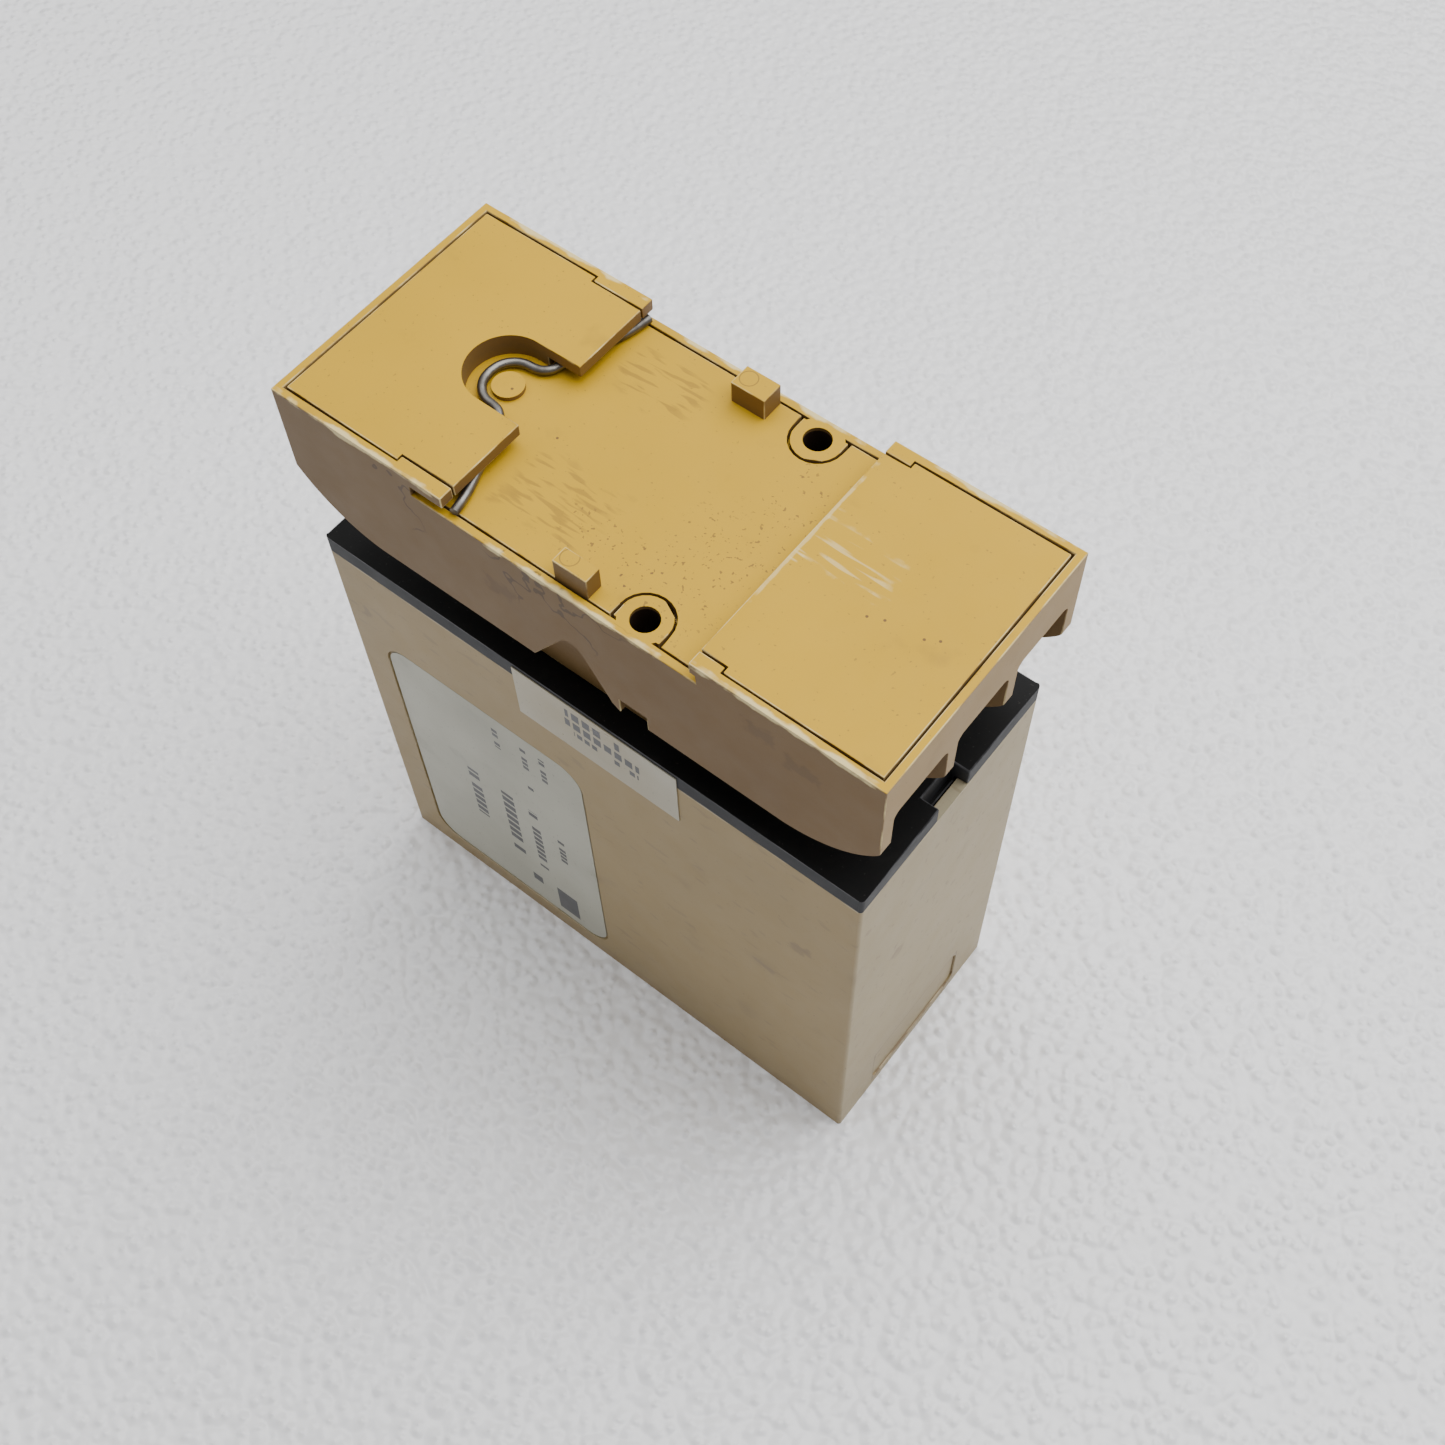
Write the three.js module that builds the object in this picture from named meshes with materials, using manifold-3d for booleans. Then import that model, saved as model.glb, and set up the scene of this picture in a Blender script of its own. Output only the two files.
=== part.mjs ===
// Plug-in solid state relay standing on its front face, with its rail-mount socket plugged on above it.
// Millimetres, +Z up. X runs along the long side and Y across. The origin is the middle of the footprint.
import * as THREE from 'three';
import { mergeVertices } from 'three/addons/utils/BufferGeometryUtils.js';
import Module from 'manifold-3d';

// Relay body
const RELAY_LENGTH = 80;
const RELAY_WIDTH = 34.6;
const RELAY_HEIGHT = 72.8;
const COVER_HEIGHT = 70;
const COVER_WALL = 1.5;
const FRONT_WALL = 1.8;
const PLUG_OFFSET = 0.55;

// Plug: eleven pins on a circle around a keyed post
const PIN_COUNT = 11;
const PIN_CIRCLE = 9.525;
const PIN_RADIUS = 1.18;
const PIN_LENGTH = 11.5;
const PIN_TAIL = 12;
const PIN_SEAT = 4;
const POST_RADIUS = 3.9;
const POST_LENGTH = 14;
const KEY_REACH = 4.7;
const KEY_WIDTH = 1.6;

// Socket, in a frame of its own: its back face is z = 0 and everything else is below it
const SOCKET_LENGTH = 82;
const SOCKET_WIDTH = 35.05;
const SOCKET_BACK = 99.45;
const WALL_DEPTH = 19.7;
const BLOCK_DEPTH = 26.3;
const END_DEPTH = 12.9;
const END_CURVE = 13.2;
const SIDE_WALL = 1.9;
const RIM = 1;
const RIM_GAP = 0.25;
const PLATE_DEPTH = 4.6;

// Rail seat across the back of the socket
const SEAT_LEFT = -16.1;
const SEAT_RIGHT = 17;
const SEAT_DEPTH = 3;
const LIP = 1.6;
const UNDERCUT_LEFT = -20.8;
const UNDERCUT_RIGHT = 18.4;
const HOOK_WIDTH = 1.85;
const HOOK_LEFT = -23.1;
const HOOK_RIGHT = 20.2;

// Fixing screw holes beside the plug block
const HOLE_X = 9;
const HOLE_Y = 14.65;
const HOLE_RADIUS = 1.65;
const BOSS_RADIUS = 3;

// Terminals: three bays at each end, with a low and a high floor in each bay
const RIB_Y = 5.4;
const RIB = 1.65;
const BAY_Y = 10.9;
const BAY_SPLIT = 30.3;
const BAY_START = 17;
const LOW_FLOOR = 7.2;
const HIGH_FLOOR = 13;
const LOW_X = 35.2;
const HIGH_X = 24.9;
const STRIP_WIDTH = 2.4;
const STRIP_TOP = -4.75;
const STRIP_LOW = -5.55;
const RISER_WIDTH = 3.4;
const RISER_THICK = 0.8;
const TERMINAL_PLATE = 1.2;
const SCREW_RADIUS = 1.65;
const CLEAR = 0.3;

const wasm = await Module();
wasm.setup();

// A closed geometry as a solid that can be joined and cut
function toSolid(geometry) {
  geometry.deleteAttribute('normal');
  geometry.deleteAttribute('uv');
  const merged = mergeVertices(geometry);
  const vertProperties = new Float32Array(merged.attributes.position.array);
  const triVerts = new Uint32Array(merged.index.array);
  return new wasm.Manifold(new wasm.Mesh({ numProp: 3, vertProperties, triVerts }));
}

function toGeometry(solid) {
  const { vertProperties, triVerts } = solid.getMesh();
  const geometry = new THREE.BufferGeometry();
  geometry.setAttribute('position', new THREE.BufferAttribute(vertProperties, 3));
  geometry.setIndex(new THREE.BufferAttribute(triVerts, 1));
  geometry.computeVertexNormals();
  return geometry;
}

const span = (range) => range[1] - range[0];
const middle = (range) => (range[0] + range[1]) / 2;
const mirrored = (range) => [-range[1], -range[0]];

function block(x, y, z) {
  const geometry = new THREE.BoxGeometry(span(x), span(y), span(z));
  return toSolid(geometry.translate(middle(x), middle(y), middle(z)));
}

function rod(x, y, radius, z, sides = 24) {
  const geometry = new THREE.CylinderGeometry(radius, radius, span(z), sides);
  return toSolid(geometry.rotateX(Math.PI / 2).translate(x, y, middle(z)));
}

// An outline pushed along one axis: 'z' takes it drawn in XY, 'y' drawn in XZ, and 'x' drawn in YZ
const PUSH = {
  x: [[0, 1, 0], [0, 0, 1], [1, 0, 0]],
  y: [[1, 0, 0], [0, 0, 1], [0, -1, 0]],
  z: [[1, 0, 0], [0, 1, 0], [0, 0, 1]],
};

function prism(outline, axis, range, curveSegments = 8) {
  const options = { depth: span(range), bevelEnabled: false, curveSegments };
  const geometry = new THREE.ExtrudeGeometry(outline, options);
  const [u, v, w] = PUSH[axis].map((direction) => new THREE.Vector3(...direction));
  geometry.applyMatrix4(new THREE.Matrix4().makeBasis(u, v, w));
  const start = axis === 'y' ? range[1] : range[0];
  const along = w.multiplyScalar(axis === 'y' ? -start : start);
  return toSolid(geometry.translate(along.x, along.y, along.z));
}

function polygon(points) {
  return new THREE.Shape(points.map(([a, b]) => new THREE.Vector2(a, b)));
}

function roundedRectangle(u, v, radius) {
  const outline = new THREE.Shape();
  outline.absarc(u[1] - radius, v[1] - radius, radius, 0, Math.PI / 2);
  outline.absarc(u[0] + radius, v[1] - radius, radius, Math.PI / 2, Math.PI);
  outline.absarc(u[0] + radius, v[0] + radius, radius, Math.PI, 1.5 * Math.PI);
  outline.absarc(u[1] - radius, v[0] + radius, radius, 1.5 * Math.PI, 2 * Math.PI);
  return outline;
}

const join = (solids) => solids.reduce((whole, solid) => whole.add(solid));
const cut = (whole, solids) => solids.reduce((left, solid) => left.subtract(solid), whole);

function finish(color, roughness, metalness = 0) {
  return () => new THREE.MeshStandardMaterial({ color, roughness, metalness });
}

const ochrePlastic = finish(0xc8a85a, 0.55);
const creamPlastic = finish(0xb3a488, 0.5);
const blackPlastic = finish(0x141416, 0.6);
const springSteel = finish(0x8d8d86, 0.38, 0.9);
const platedSteel = finish(0xb4b6b8, 0.35, 0.9);
const brass = finish(0xc2a457, 0.35, 0.9);
const boardResin = finish(0x4f6b3a, 0.6);
const bareAluminium = finish(0xb9bcc0, 0.4, 0.9);
const blackResin = finish(0x1d1d20, 0.5);
const blueFilm = finish(0x2f5f8f, 0.4);
const redLens = finish(0xa01818, 0.25);
const printedFilm = finish(0xa9a99c, 0.4);
const silverFilm = finish(0xa3a69c, 0.3, 0.3);

function addPiece(group, name, geometry, material) {
  const mesh = new THREE.Mesh(geometry, material());
  mesh.name = name;
  group.add(mesh);
  return mesh;
}

function pinPlace(index) {
  const angle = (2 * Math.PI * index) / PIN_COUNT;
  return [PIN_CIRCLE * Math.cos(angle), PIN_CIRCLE * Math.sin(angle)];
}

const part = new THREE.Group();
const relay = new THREE.Group();
relay.position.x = -PLUG_OFFSET;
const socket = new THREE.Group();
socket.position.z = SOCKET_BACK;
part.add(relay, socket);

const bothSides = [-1, 1];
const halfLength = RELAY_LENGTH / 2;
const halfWidth = RELAY_WIDTH / 2;

// Cover: a deep moulded box, open at the plug end, with sunk fields for the labels
const LABEL_X = [-34.8, -1.6];
const LABEL_Z = [3.6, 54.2];
const LABEL_SINK = 0.35;
const END_FIELD_Y = [-9.7, 9.9];
const END_FIELD_Z = [1.9, 11.2];
const LED_PLACE = [29, -6];

function makeCover() {
  const outside = roundedRectangle([-halfLength, halfLength], [-halfWidth, halfWidth], 0.5);
  const insideX = halfLength - COVER_WALL;
  const insideY = halfWidth - COVER_WALL;
  const body = prism(outside, 'z', [0, COVER_HEIGHT], 3);
  const labelField = roundedRectangle(LABEL_X, LABEL_Z, 4);
  const endField = roundedRectangle(END_FIELD_Y, END_FIELD_Z, 2);
  const latchPockets = bothSides.map((side) => {
    const x = [insideX - 1, insideX + 0.6].map((value) => side * value).sort((a, b) => a - b);
    return block(x, [-5, 5], [63, 65.4]);
  });
  return cut(body, [
    block([-insideX, insideX], [-insideY, insideY], [FRONT_WALL, COVER_HEIGHT + 1]),
    prism(labelField, 'y', [-halfWidth - 1, -halfWidth + LABEL_SINK], 6),
    prism(endField, 'x', [halfLength - 0.3, halfLength + 1], 4),
    rod(LED_PLACE[0], LED_PLACE[1], 1.9, [-1, FRONT_WALL + 1]),
    ...latchPockets,
  ]);
}

addPiece(relay, 'relay_cover', toGeometry(makeCover()), creamPlastic);

// Base plate: closes the cover, holds the pins, and carries the keyed post
const BOSS_Z = [RELAY_HEIGHT - PIN_SEAT, RELAY_HEIGHT - 1];
const NOTCH_Y = [-2.9, 2.9];
const NOTCH_DEPTH = 2.4;
const PLATE_SEAM = 0.05;
const SKIRT_BOTTOM = 62.5;
const SKIRT_END_WALL = 2;
const SKIRT_SIDE_WALL = 1.6;
const LATCH_Z = [63.4, 65];
const LATCH_HALF = 4.6;
const PIN_BOSS_RADIUS = 13.6;

function makeBasePlate() {
  const outline = roundedRectangle([-halfLength, halfLength], [-halfWidth, halfWidth], 0.5);
  const plate = prism(outline, 'z', [COVER_HEIGHT + PLATE_SEAM, RELAY_HEIGHT], 3);
  const skirtX = halfLength - COVER_WALL - CLEAR;
  const skirtY = halfWidth - COVER_WALL - CLEAR;
  const hollowX = skirtX - SKIRT_END_WALL;
  const hollowY = skirtY - SKIRT_SIDE_WALL;
  const skirt = block([-skirtX, skirtX], [-skirtY, skirtY], [SKIRT_BOTTOM, COVER_HEIGHT + 0.5]).subtract(
    block([-hollowX, hollowX], [-hollowY, hollowY], [SKIRT_BOTTOM - 1, COVER_HEIGHT + 2]),
  );
  const latches = bothSides.map((side) => {
    const wedge = polygon([
      [side * (skirtX - 0.5), LATCH_Z[0]],
      [side * skirtX, LATCH_Z[0]],
      [side * (skirtX + 0.5), LATCH_Z[1]],
      [side * (skirtX - 0.5), LATCH_Z[1]],
    ]);
    return prism(wedge, 'y', [-LATCH_HALF, LATCH_HALF]);
  });
  const boss = rod(PLUG_OFFSET, 0, PIN_BOSS_RADIUS, BOSS_Z, 32);
  const postZ = [RELAY_HEIGHT - 1, RELAY_HEIGHT + POST_LENGTH];
  const post = rod(PLUG_OFFSET, 0, POST_RADIUS, postZ, 24);
  const key = block([PLUG_OFFSET - KEY_REACH, PLUG_OFFSET], [-KEY_WIDTH / 2, KEY_WIDTH / 2], postZ);
  const notches = bothSides.map((side) => {
    const x = [halfLength - NOTCH_DEPTH, halfLength + 1].map((value) => side * value);
    return block(x.sort((a, b) => a - b), NOTCH_Y, [COVER_HEIGHT - 1, RELAY_HEIGHT + 1]);
  });
  const pinHoles = [];
  for (let index = 0; index < PIN_COUNT; index += 1) {
    const [x, y] = pinPlace(index);
    pinHoles.push(rod(x + PLUG_OFFSET, y, PIN_RADIUS + CLEAR, [60, RELAY_HEIGHT + 1], 10));
  }
  return cut(join([plate, skirt, boss, post, key, ...latches]), [...notches, ...pinHoles]);
}

addPiece(relay, 'base_plate', toGeometry(makeBasePlate()), blackPlastic);

// Pins: turned brass, round-nosed, with a flange under the plate and a thin tail into the pin board
function makePin() {
  const nose = [];
  for (let step = 0; step <= 2; step += 1) {
    const angle = (Math.PI / 4) * step;
    const radius = PIN_RADIUS * Math.sin(angle);
    nose.push(new THREE.Vector2(radius, PIN_LENGTH - PIN_RADIUS * (1 - Math.cos(angle))));
  }
  const stem = [
    [PIN_RADIUS, -PIN_SEAT - 0.05],
    [2.1, -PIN_SEAT - 0.05],
    [2.1, -PIN_SEAT - 0.9],
    [0.6, -PIN_SEAT - 0.9],
    [0.6, -PIN_TAIL],
    [0, -PIN_TAIL],
  ].map(([radius, height]) => new THREE.Vector2(radius, height));
  const profile = [...nose, ...stem].reverse();
  return new THREE.LatheGeometry(profile, 10).rotateX(Math.PI / 2);
}

for (let index = 0; index < PIN_COUNT; index += 1) {
  const pin = addPiece(relay, `plug_pin_${index + 1}`, makePin(), brass);
  const [x, y] = pinPlace(index);
  pin.position.set(x + PLUG_OFFSET, y, RELAY_HEIGHT);
}

// Pin board: joins the pin tails to the circuit board
function makePinBoard() {
  const board = block([PLUG_OFFSET - 15, PLUG_OFFSET + 15], [-13, 13], [61.7, 63.3]);
  const holes = [];
  for (let index = 0; index < PIN_COUNT; index += 1) {
    const [x, y] = pinPlace(index);
    holes.push(rod(x + PLUG_OFFSET, y, 0.95, [60, 65], 8));
  }
  return cut(board, holes);
}

addPiece(relay, 'pin_board', toGeometry(makePinBoard()), boardResin);

// Circuit board: stands on edge along the relay
const BOARD_Y = [-10.6, -9];
const BOARD_FACE = BOARD_Y[1] + 0.05;
const board = new THREE.BoxGeometry(72, span(BOARD_Y), 55);
addPiece(relay, 'circuit_board', board, boardResin).position.set(0, middle(BOARD_Y), 32.5);

// Heat spreader: folded aluminium sheet behind the power switch
function makeHeatSpreader() {
  const fold = polygon([[13, 6], [13, 58], [11, 58], [11, 8], [2, 8], [2, 6]]);
  return prism(fold, 'x', [-33, 33]);
}

addPiece(relay, 'heat_spreader', toGeometry(makeHeatSpreader()), bareAluminium);

// Power switch: moulded triac on a metal tab, with three leads to the circuit board
function makePowerSwitch() {
  const body = block([-7.6, 7.6], [5.6, 10.2], [24, 41]);
  const tab = block([-7, 7], [8.6, 10.7], [24, 46]).subtract(makeTabHole());
  const leads = [-5, 0, 5].flatMap((x) => [
    block([x - 0.6, x + 0.6], [7.2, 8], [19, 25]),
    block([x - 0.6, x + 0.6], [BOARD_FACE, 8], [18.4, 19.2]),
  ]);
  return join([body, tab, ...leads]);
}

function makeTabHole() {
  const geometry = new THREE.CylinderGeometry(1.8, 1.8, 6, 16);
  return toSolid(geometry.translate(0, 9.5, 43.4));
}

addPiece(relay, 'power_switch', toGeometry(makePowerSwitch()), blackResin);

// Optocoupler: six-legged package that separates the input from the output
function makeOptocoupler() {
  const body = block([-24, -15.4], [BOARD_FACE + 0.6, BOARD_FACE + 4.2], [40.8, 47.2]);
  const legs = [-22.3, -19.7, -17.1].flatMap((x) => [
    block([x - 0.4, x + 0.4], [BOARD_FACE, BOARD_FACE + 2.4], [40.2, 41]),
    block([x - 0.4, x + 0.4], [BOARD_FACE, BOARD_FACE + 2.4], [47, 47.8]),
  ]);
  return join([body, ...legs]);
}

addPiece(relay, 'optocoupler', toGeometry(makeOptocoupler()), blackResin);

// Snubber capacitor: boxed film capacitor across the output
function makeCapacitor() {
  const outline = roundedRectangle([11, 29], [36, 50], 1);
  return prism(outline, 'y', [BOARD_FACE, BOARD_FACE + 8.5], 2);
}

addPiece(relay, 'snubber_capacitor', toGeometry(makeCapacitor()), blueFilm);

// Indicator: a small lamp on two legs, seen through a hole in the front face
function makeIndicator() {
  const [x, y] = LED_PLACE;
  const lamp = rod(x, y, 1.5, [0.4, 7], 16);
  const collar = rod(x, y, 1.85, [5.6, 7], 16);
  const legs = [-0.9, 0.9].flatMap((offset) => [
    block([x + offset - 0.25, x + offset + 0.25], [y - 0.25, y + 0.25], [6.5, 10.5]),
    block([x + offset - 0.25, x + offset + 0.25], [BOARD_FACE, y + 0.25], [10, 10.5]),
  ]);
  return join([lamp, collar, ...legs]);
}

addPiece(relay, 'indicator_lamp', toGeometry(makeIndicator()), redLens);

// Rating label in its sunk field, and the paper-thin seal across the joint of cover and base plate
function makeRatingLabel() {
  const edge = 0.35;
  const x = [LABEL_X[0] + edge, LABEL_X[1] - edge];
  const z = [LABEL_Z[0] + edge, LABEL_Z[1] - edge];
  const y = [-halfWidth + 0.1, -halfWidth + LABEL_SINK - 0.05];
  return prism(roundedRectangle(x, z, 3.7), 'y', y, 6);
}

addPiece(relay, 'rating_label', toGeometry(makeRatingLabel()), printedFilm);

const seal = new THREE.BoxGeometry(24.5, 0.15, 9.9);
addPiece(relay, 'joint_seal', seal, silverFilm).position.set(2.25, -halfWidth - 0.1, 67.25);

// Socket housing
const socketHalf = SOCKET_LENGTH / 2;
const socketEdge = SOCKET_WIDTH / 2;
const wallInside = socketEdge - SIDE_WALL;
const pocketX = socketHalf - RIM;
const pocketY = socketEdge - RIM;
const hookInside = socketEdge - HOOK_WIDTH;
const deep = -40;

// The outline of the side walls, seen from the side: square at the back, curved at both ends
function sideOutline() {
  const rise = WALL_DEPTH - END_DEPTH;
  const radius = (END_CURVE * END_CURVE + rise * rise) / (2 * rise);
  const start = Math.asin((radius - rise) / radius);
  const centre = socketHalf - END_CURVE;
  const outline = new THREE.Shape();
  outline.moveTo(-socketHalf, 0);
  outline.lineTo(-socketHalf, -END_DEPTH);
  outline.absarc(-centre, radius - WALL_DEPTH, radius, Math.PI + start, 1.5 * Math.PI);
  outline.absarc(centre, radius - WALL_DEPTH, radius, 1.5 * Math.PI, 2 * Math.PI - start);
  outline.lineTo(socketHalf, 0);
  return outline;
}

// A bay between two ribs, with rounded corners under its floor
function bay(y, floor, x) {
  const radius = 1.1;
  const outline = new THREE.Shape();
  outline.moveTo(y[0], deep);
  outline.lineTo(y[1], deep);
  outline.absarc(y[1] - radius, -floor - radius, radius, 0, Math.PI / 2);
  outline.absarc(y[0] + radius, -floor - radius, radius, Math.PI / 2, Math.PI);
  return prism(outline, 'x', x, 4);
}

const innerBay = [RIB / 2 - RIB_Y, RIB_Y - RIB / 2];
const outerBay = [RIB_Y + RIB / 2, wallInside];
const bayRanges = [mirrored(outerBay), innerBay, outerBay];

function bayCuts() {
  return bayRanges.flatMap((y) => bothSides.flatMap((side) => {
    const low = [BAY_SPLIT, socketHalf + 1];
    const high = [BAY_START, BAY_SPLIT + 1];
    return [
      bay(y, LOW_FLOOR, side > 0 ? low : mirrored(low)),
      bay(y, HIGH_FLOOR, side > 0 ? high : mirrored(high)),
    ];
  }));
}

// Terminals: the end (1 or -1), bay (-1, 0 or 1) and floor that each pin is wired to, in pin order
const TERMINALS = [
  { end: 1, bayIndex: 0, low: true, way: [] },
  { end: 1, bayIndex: 1, low: false, way: [[13, 7.6]] },
  { end: 1, bayIndex: 1, low: true, way: [[9.8, 10.2], [17, 13.8], [29, 13.8]] },
  { end: -1, bayIndex: 1, low: true, way: [[-3.5, 11.8], [-10, 12.2], [-17, 13.8], [-29, 13.8]] },
  { end: -1, bayIndex: 1, low: false, way: [[-13, 7.6]] },
  { end: -1, bayIndex: 0, low: true, way: [[-18, 2.9], [-29, 2.9]] },
  { end: -1, bayIndex: 0, low: false, way: [[-18, -1.8]] },
  { end: -1, bayIndex: -1, low: false, way: [[-13, -7.6]] },
  { end: -1, bayIndex: -1, low: true, way: [[-3.5, -11.8], [-10, -12.2], [-17, -13.8], [-29, -13.8]] },
  { end: 1, bayIndex: -1, low: true, way: [[9.8, -10.2], [17, -13.8], [29, -13.8]] },
  { end: 1, bayIndex: -1, low: false, way: [[13, -7.6]] },
];

// Where a terminal's screw stands, and the middle of the riser that leads down to it
function terminalPlace({ end, bayIndex, low }) {
  const x = end * (low ? LOW_X : HIGH_X);
  const y = bayIndex * BAY_Y;
  const shift = low ? 0 : -1.2 * (bayIndex || 1);
  return { x, y, riserX: x - end * 4.2, riserY: y + shift, floor: low ? LOW_FLOOR : HIGH_FLOOR };
}

// A flat strip through a row of points
function strip(points, width, z) {
  const pieces = points.map(([x, y]) => rod(x, y, width / 2, z, 8));
  for (let index = 1; index < points.length; index += 1) {
    const [ax, ay] = points[index - 1];
    const [bx, by] = points[index];
    const length = Math.hypot(bx - ax, by - ay);
    const geometry = new THREE.BoxGeometry(length, width, span(z));
    geometry.rotateZ(Math.atan2(by - ay, bx - ax));
    pieces.push(toSolid(geometry.translate((ax + bx) / 2, (ay + by) / 2, middle(z))));
  }
  return join(pieces);
}

function stripPoints(index) {
  const { riserX, riserY } = terminalPlace(TERMINALS[index]);
  return [pinPlace(index), ...TERMINALS[index].way, [riserX, riserY]];
}

const riserRange = (centre, width, room) => [centre - width / 2 - room, centre + width / 2 + room];

// Everything that the contacts and the pins need cut out of the housing
function contactCuts() {
  return TERMINALS.flatMap((terminal, index) => {
    const [x, y] = pinPlace(index);
    const place = terminalPlace(terminal);
    const riserX = riserRange(place.riserX, RISER_THICK, CLEAR);
    const riserY = riserRange(place.riserY, RISER_WIDTH, CLEAR);
    return [
      rod(x, y, 2.2, [-24.4, 0], 10),
      rod(x, y, 1.5, [deep, -24], 10),
      strip(stripPoints(index), STRIP_WIDTH + 2 * CLEAR, [STRIP_LOW - CLEAR, 0]),
      block(riserX, riserY, [-place.floor - 1, 0]),
      rod(place.x, place.y, SCREW_RADIUS + CLEAR, [-place.floor - 1, -place.floor + 2.6], 8),
    ];
  });
}

// The triangular opening and the shallow step in the lower edge of each side wall
function wallNotches() {
  const opening = polygon([
    [-5.7, deep], [-5.7, -WALL_DEPTH], [-0.9, -12.55], [-0.2, -12.1], [0.7, -11.95],
    [1.5, -12.3], [2.1, -13.1], [5.5, -19], [6.5, -WALL_DEPTH], [6.5, deep],
  ]);
  const step = polygon([[6.75, deep], [6.75, -17.3], [10.5, -17.3], [10.75, deep]]);
  const walls = [wallInside - 0.01, socketEdge + 1];
  return [opening, step].flatMap((outline) => [walls, mirrored(walls)].map((y) => prism(outline, 'y', y)));
}

const BLOCK_HALF = 14;
const LEDGE_DEPTH = 17.5;
const BOSS_DEPTH = 17.3;
const HOOK_SET_BACK = 0.2;
const HOOK_HEEL = 0.15 - SEAT_DEPTH;
const KEY_CLEAR = 0.4;

function makeHousing() {
  const walls = prism(sideOutline(), 'y', [-socketEdge, socketEdge], 14);
  const blockRange = [-BLOCK_HALF, BLOCK_HALF];
  const plugBlock = prism(roundedRectangle(blockRange, blockRange, 2), 'z', [-BLOCK_DEPTH, -8], 4);
  const sideGaps = bothSides.map((side) => {
    const y = [BLOCK_HALF, wallInside];
    return block([-BAY_START, BAY_START], side > 0 ? y : mirrored(y), [deep, -7.5]);
  });
  const belowLedge = block([-BAY_START, BAY_START], [-wallInside, wallInside], [deep, -LEDGE_DEPTH]);
  const bosses = bothSides.map((side) => {
    const outward = side > 0 ? [HOLE_Y, wallInside + 0.5] : [-wallInside - 0.5, -HOLE_Y];
    const bossZ = [-BOSS_DEPTH, -SEAT_DEPTH];
    const web = block([HOLE_X - BOSS_RADIUS, HOLE_X + BOSS_RADIUS], outward, bossZ);
    return rod(HOLE_X, side * HOLE_Y, BOSS_RADIUS, bossZ).add(web);
  });
  const hookEdge = socketEdge - HOOK_SET_BACK;
  const hooks = bothSides.flatMap((side) => {
    const y = side > 0 ? [hookInside, hookEdge] : [-hookEdge, -hookInside];
    return [
      block([UNDERCUT_LEFT - 0.3, SEAT_LEFT], y, [-LIP, 0]),
      block([HOOK_LEFT, UNDERCUT_LEFT - 0.3], y, [HOOK_HEEL, 0]),
      block([SEAT_RIGHT, UNDERCUT_RIGHT], y, [-LIP, 0]),
      block([UNDERCUT_RIGHT, HOOK_RIGHT], y, [HOOK_HEEL, 0]),
    ];
  });
  const slotsInWall = bothSides.flatMap((side) => {
    const y = side > 0 ? [hookInside, socketEdge + 1] : [-socketEdge - 1, -hookInside];
    return [
      block([UNDERCUT_LEFT, SEAT_LEFT + 1], y, [-SEAT_DEPTH, -LIP]),
      block([SEAT_RIGHT - 1, SEAT_RIGHT + 0.8], y, [-SEAT_DEPTH, -LIP]),
    ];
  });
  const shell = cut(walls, [
    block([-pocketX, pocketX], [-pocketY, pocketY], [-PLATE_DEPTH, 1]),
    block([SEAT_LEFT, SEAT_RIGHT], [-socketEdge - 1, socketEdge + 1], [-SEAT_DEPTH, 1]),
    ...bayCuts(),
    ...sideGaps,
    belowLedge,
    ...wallNotches(),
  ]);
  const keyHole = join([
    rod(0, 0, POST_RADIUS + KEY_CLEAR, [deep, -9]),
    block([-KEY_REACH - KEY_CLEAR, 0], [-KEY_WIDTH / 2 - CLEAR, KEY_WIDTH / 2 + CLEAR], [deep, -9]),
  ]);
  const fixingHoles = bothSides.map((side) => rod(HOLE_X, side * HOLE_Y, HOLE_RADIUS, [deep, 1]));
  const envelope = block([-socketHalf, socketHalf], [-socketEdge, socketEdge], [deep, 0]);
  const whole = join([shell, plugBlock, ...bosses, ...hooks]).intersect(envelope);
  return cut(whole, [...slotsInWall, keyHole, ...contactCuts(), ...fixingHoles]);
}

addPiece(socket, 'socket_housing', toGeometry(makeHousing()), ochrePlastic);

// Rear cover of the socket: two raised pads, with the rail seat between them
const POST_PLACE = [-22.35, -0.1];
const POST_TOP = 0.6 - SEAT_DEPTH;
const BOSS_GAP = 0.35;
const NUB_X = [-1.8, 2.8];
const NUB_NEAR_Y = -14.1;
const NUB_FAR_Y = 13.3;
const plateX = pocketX - RIM_GAP;
const plateY = pocketY - RIM_GAP;

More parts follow.
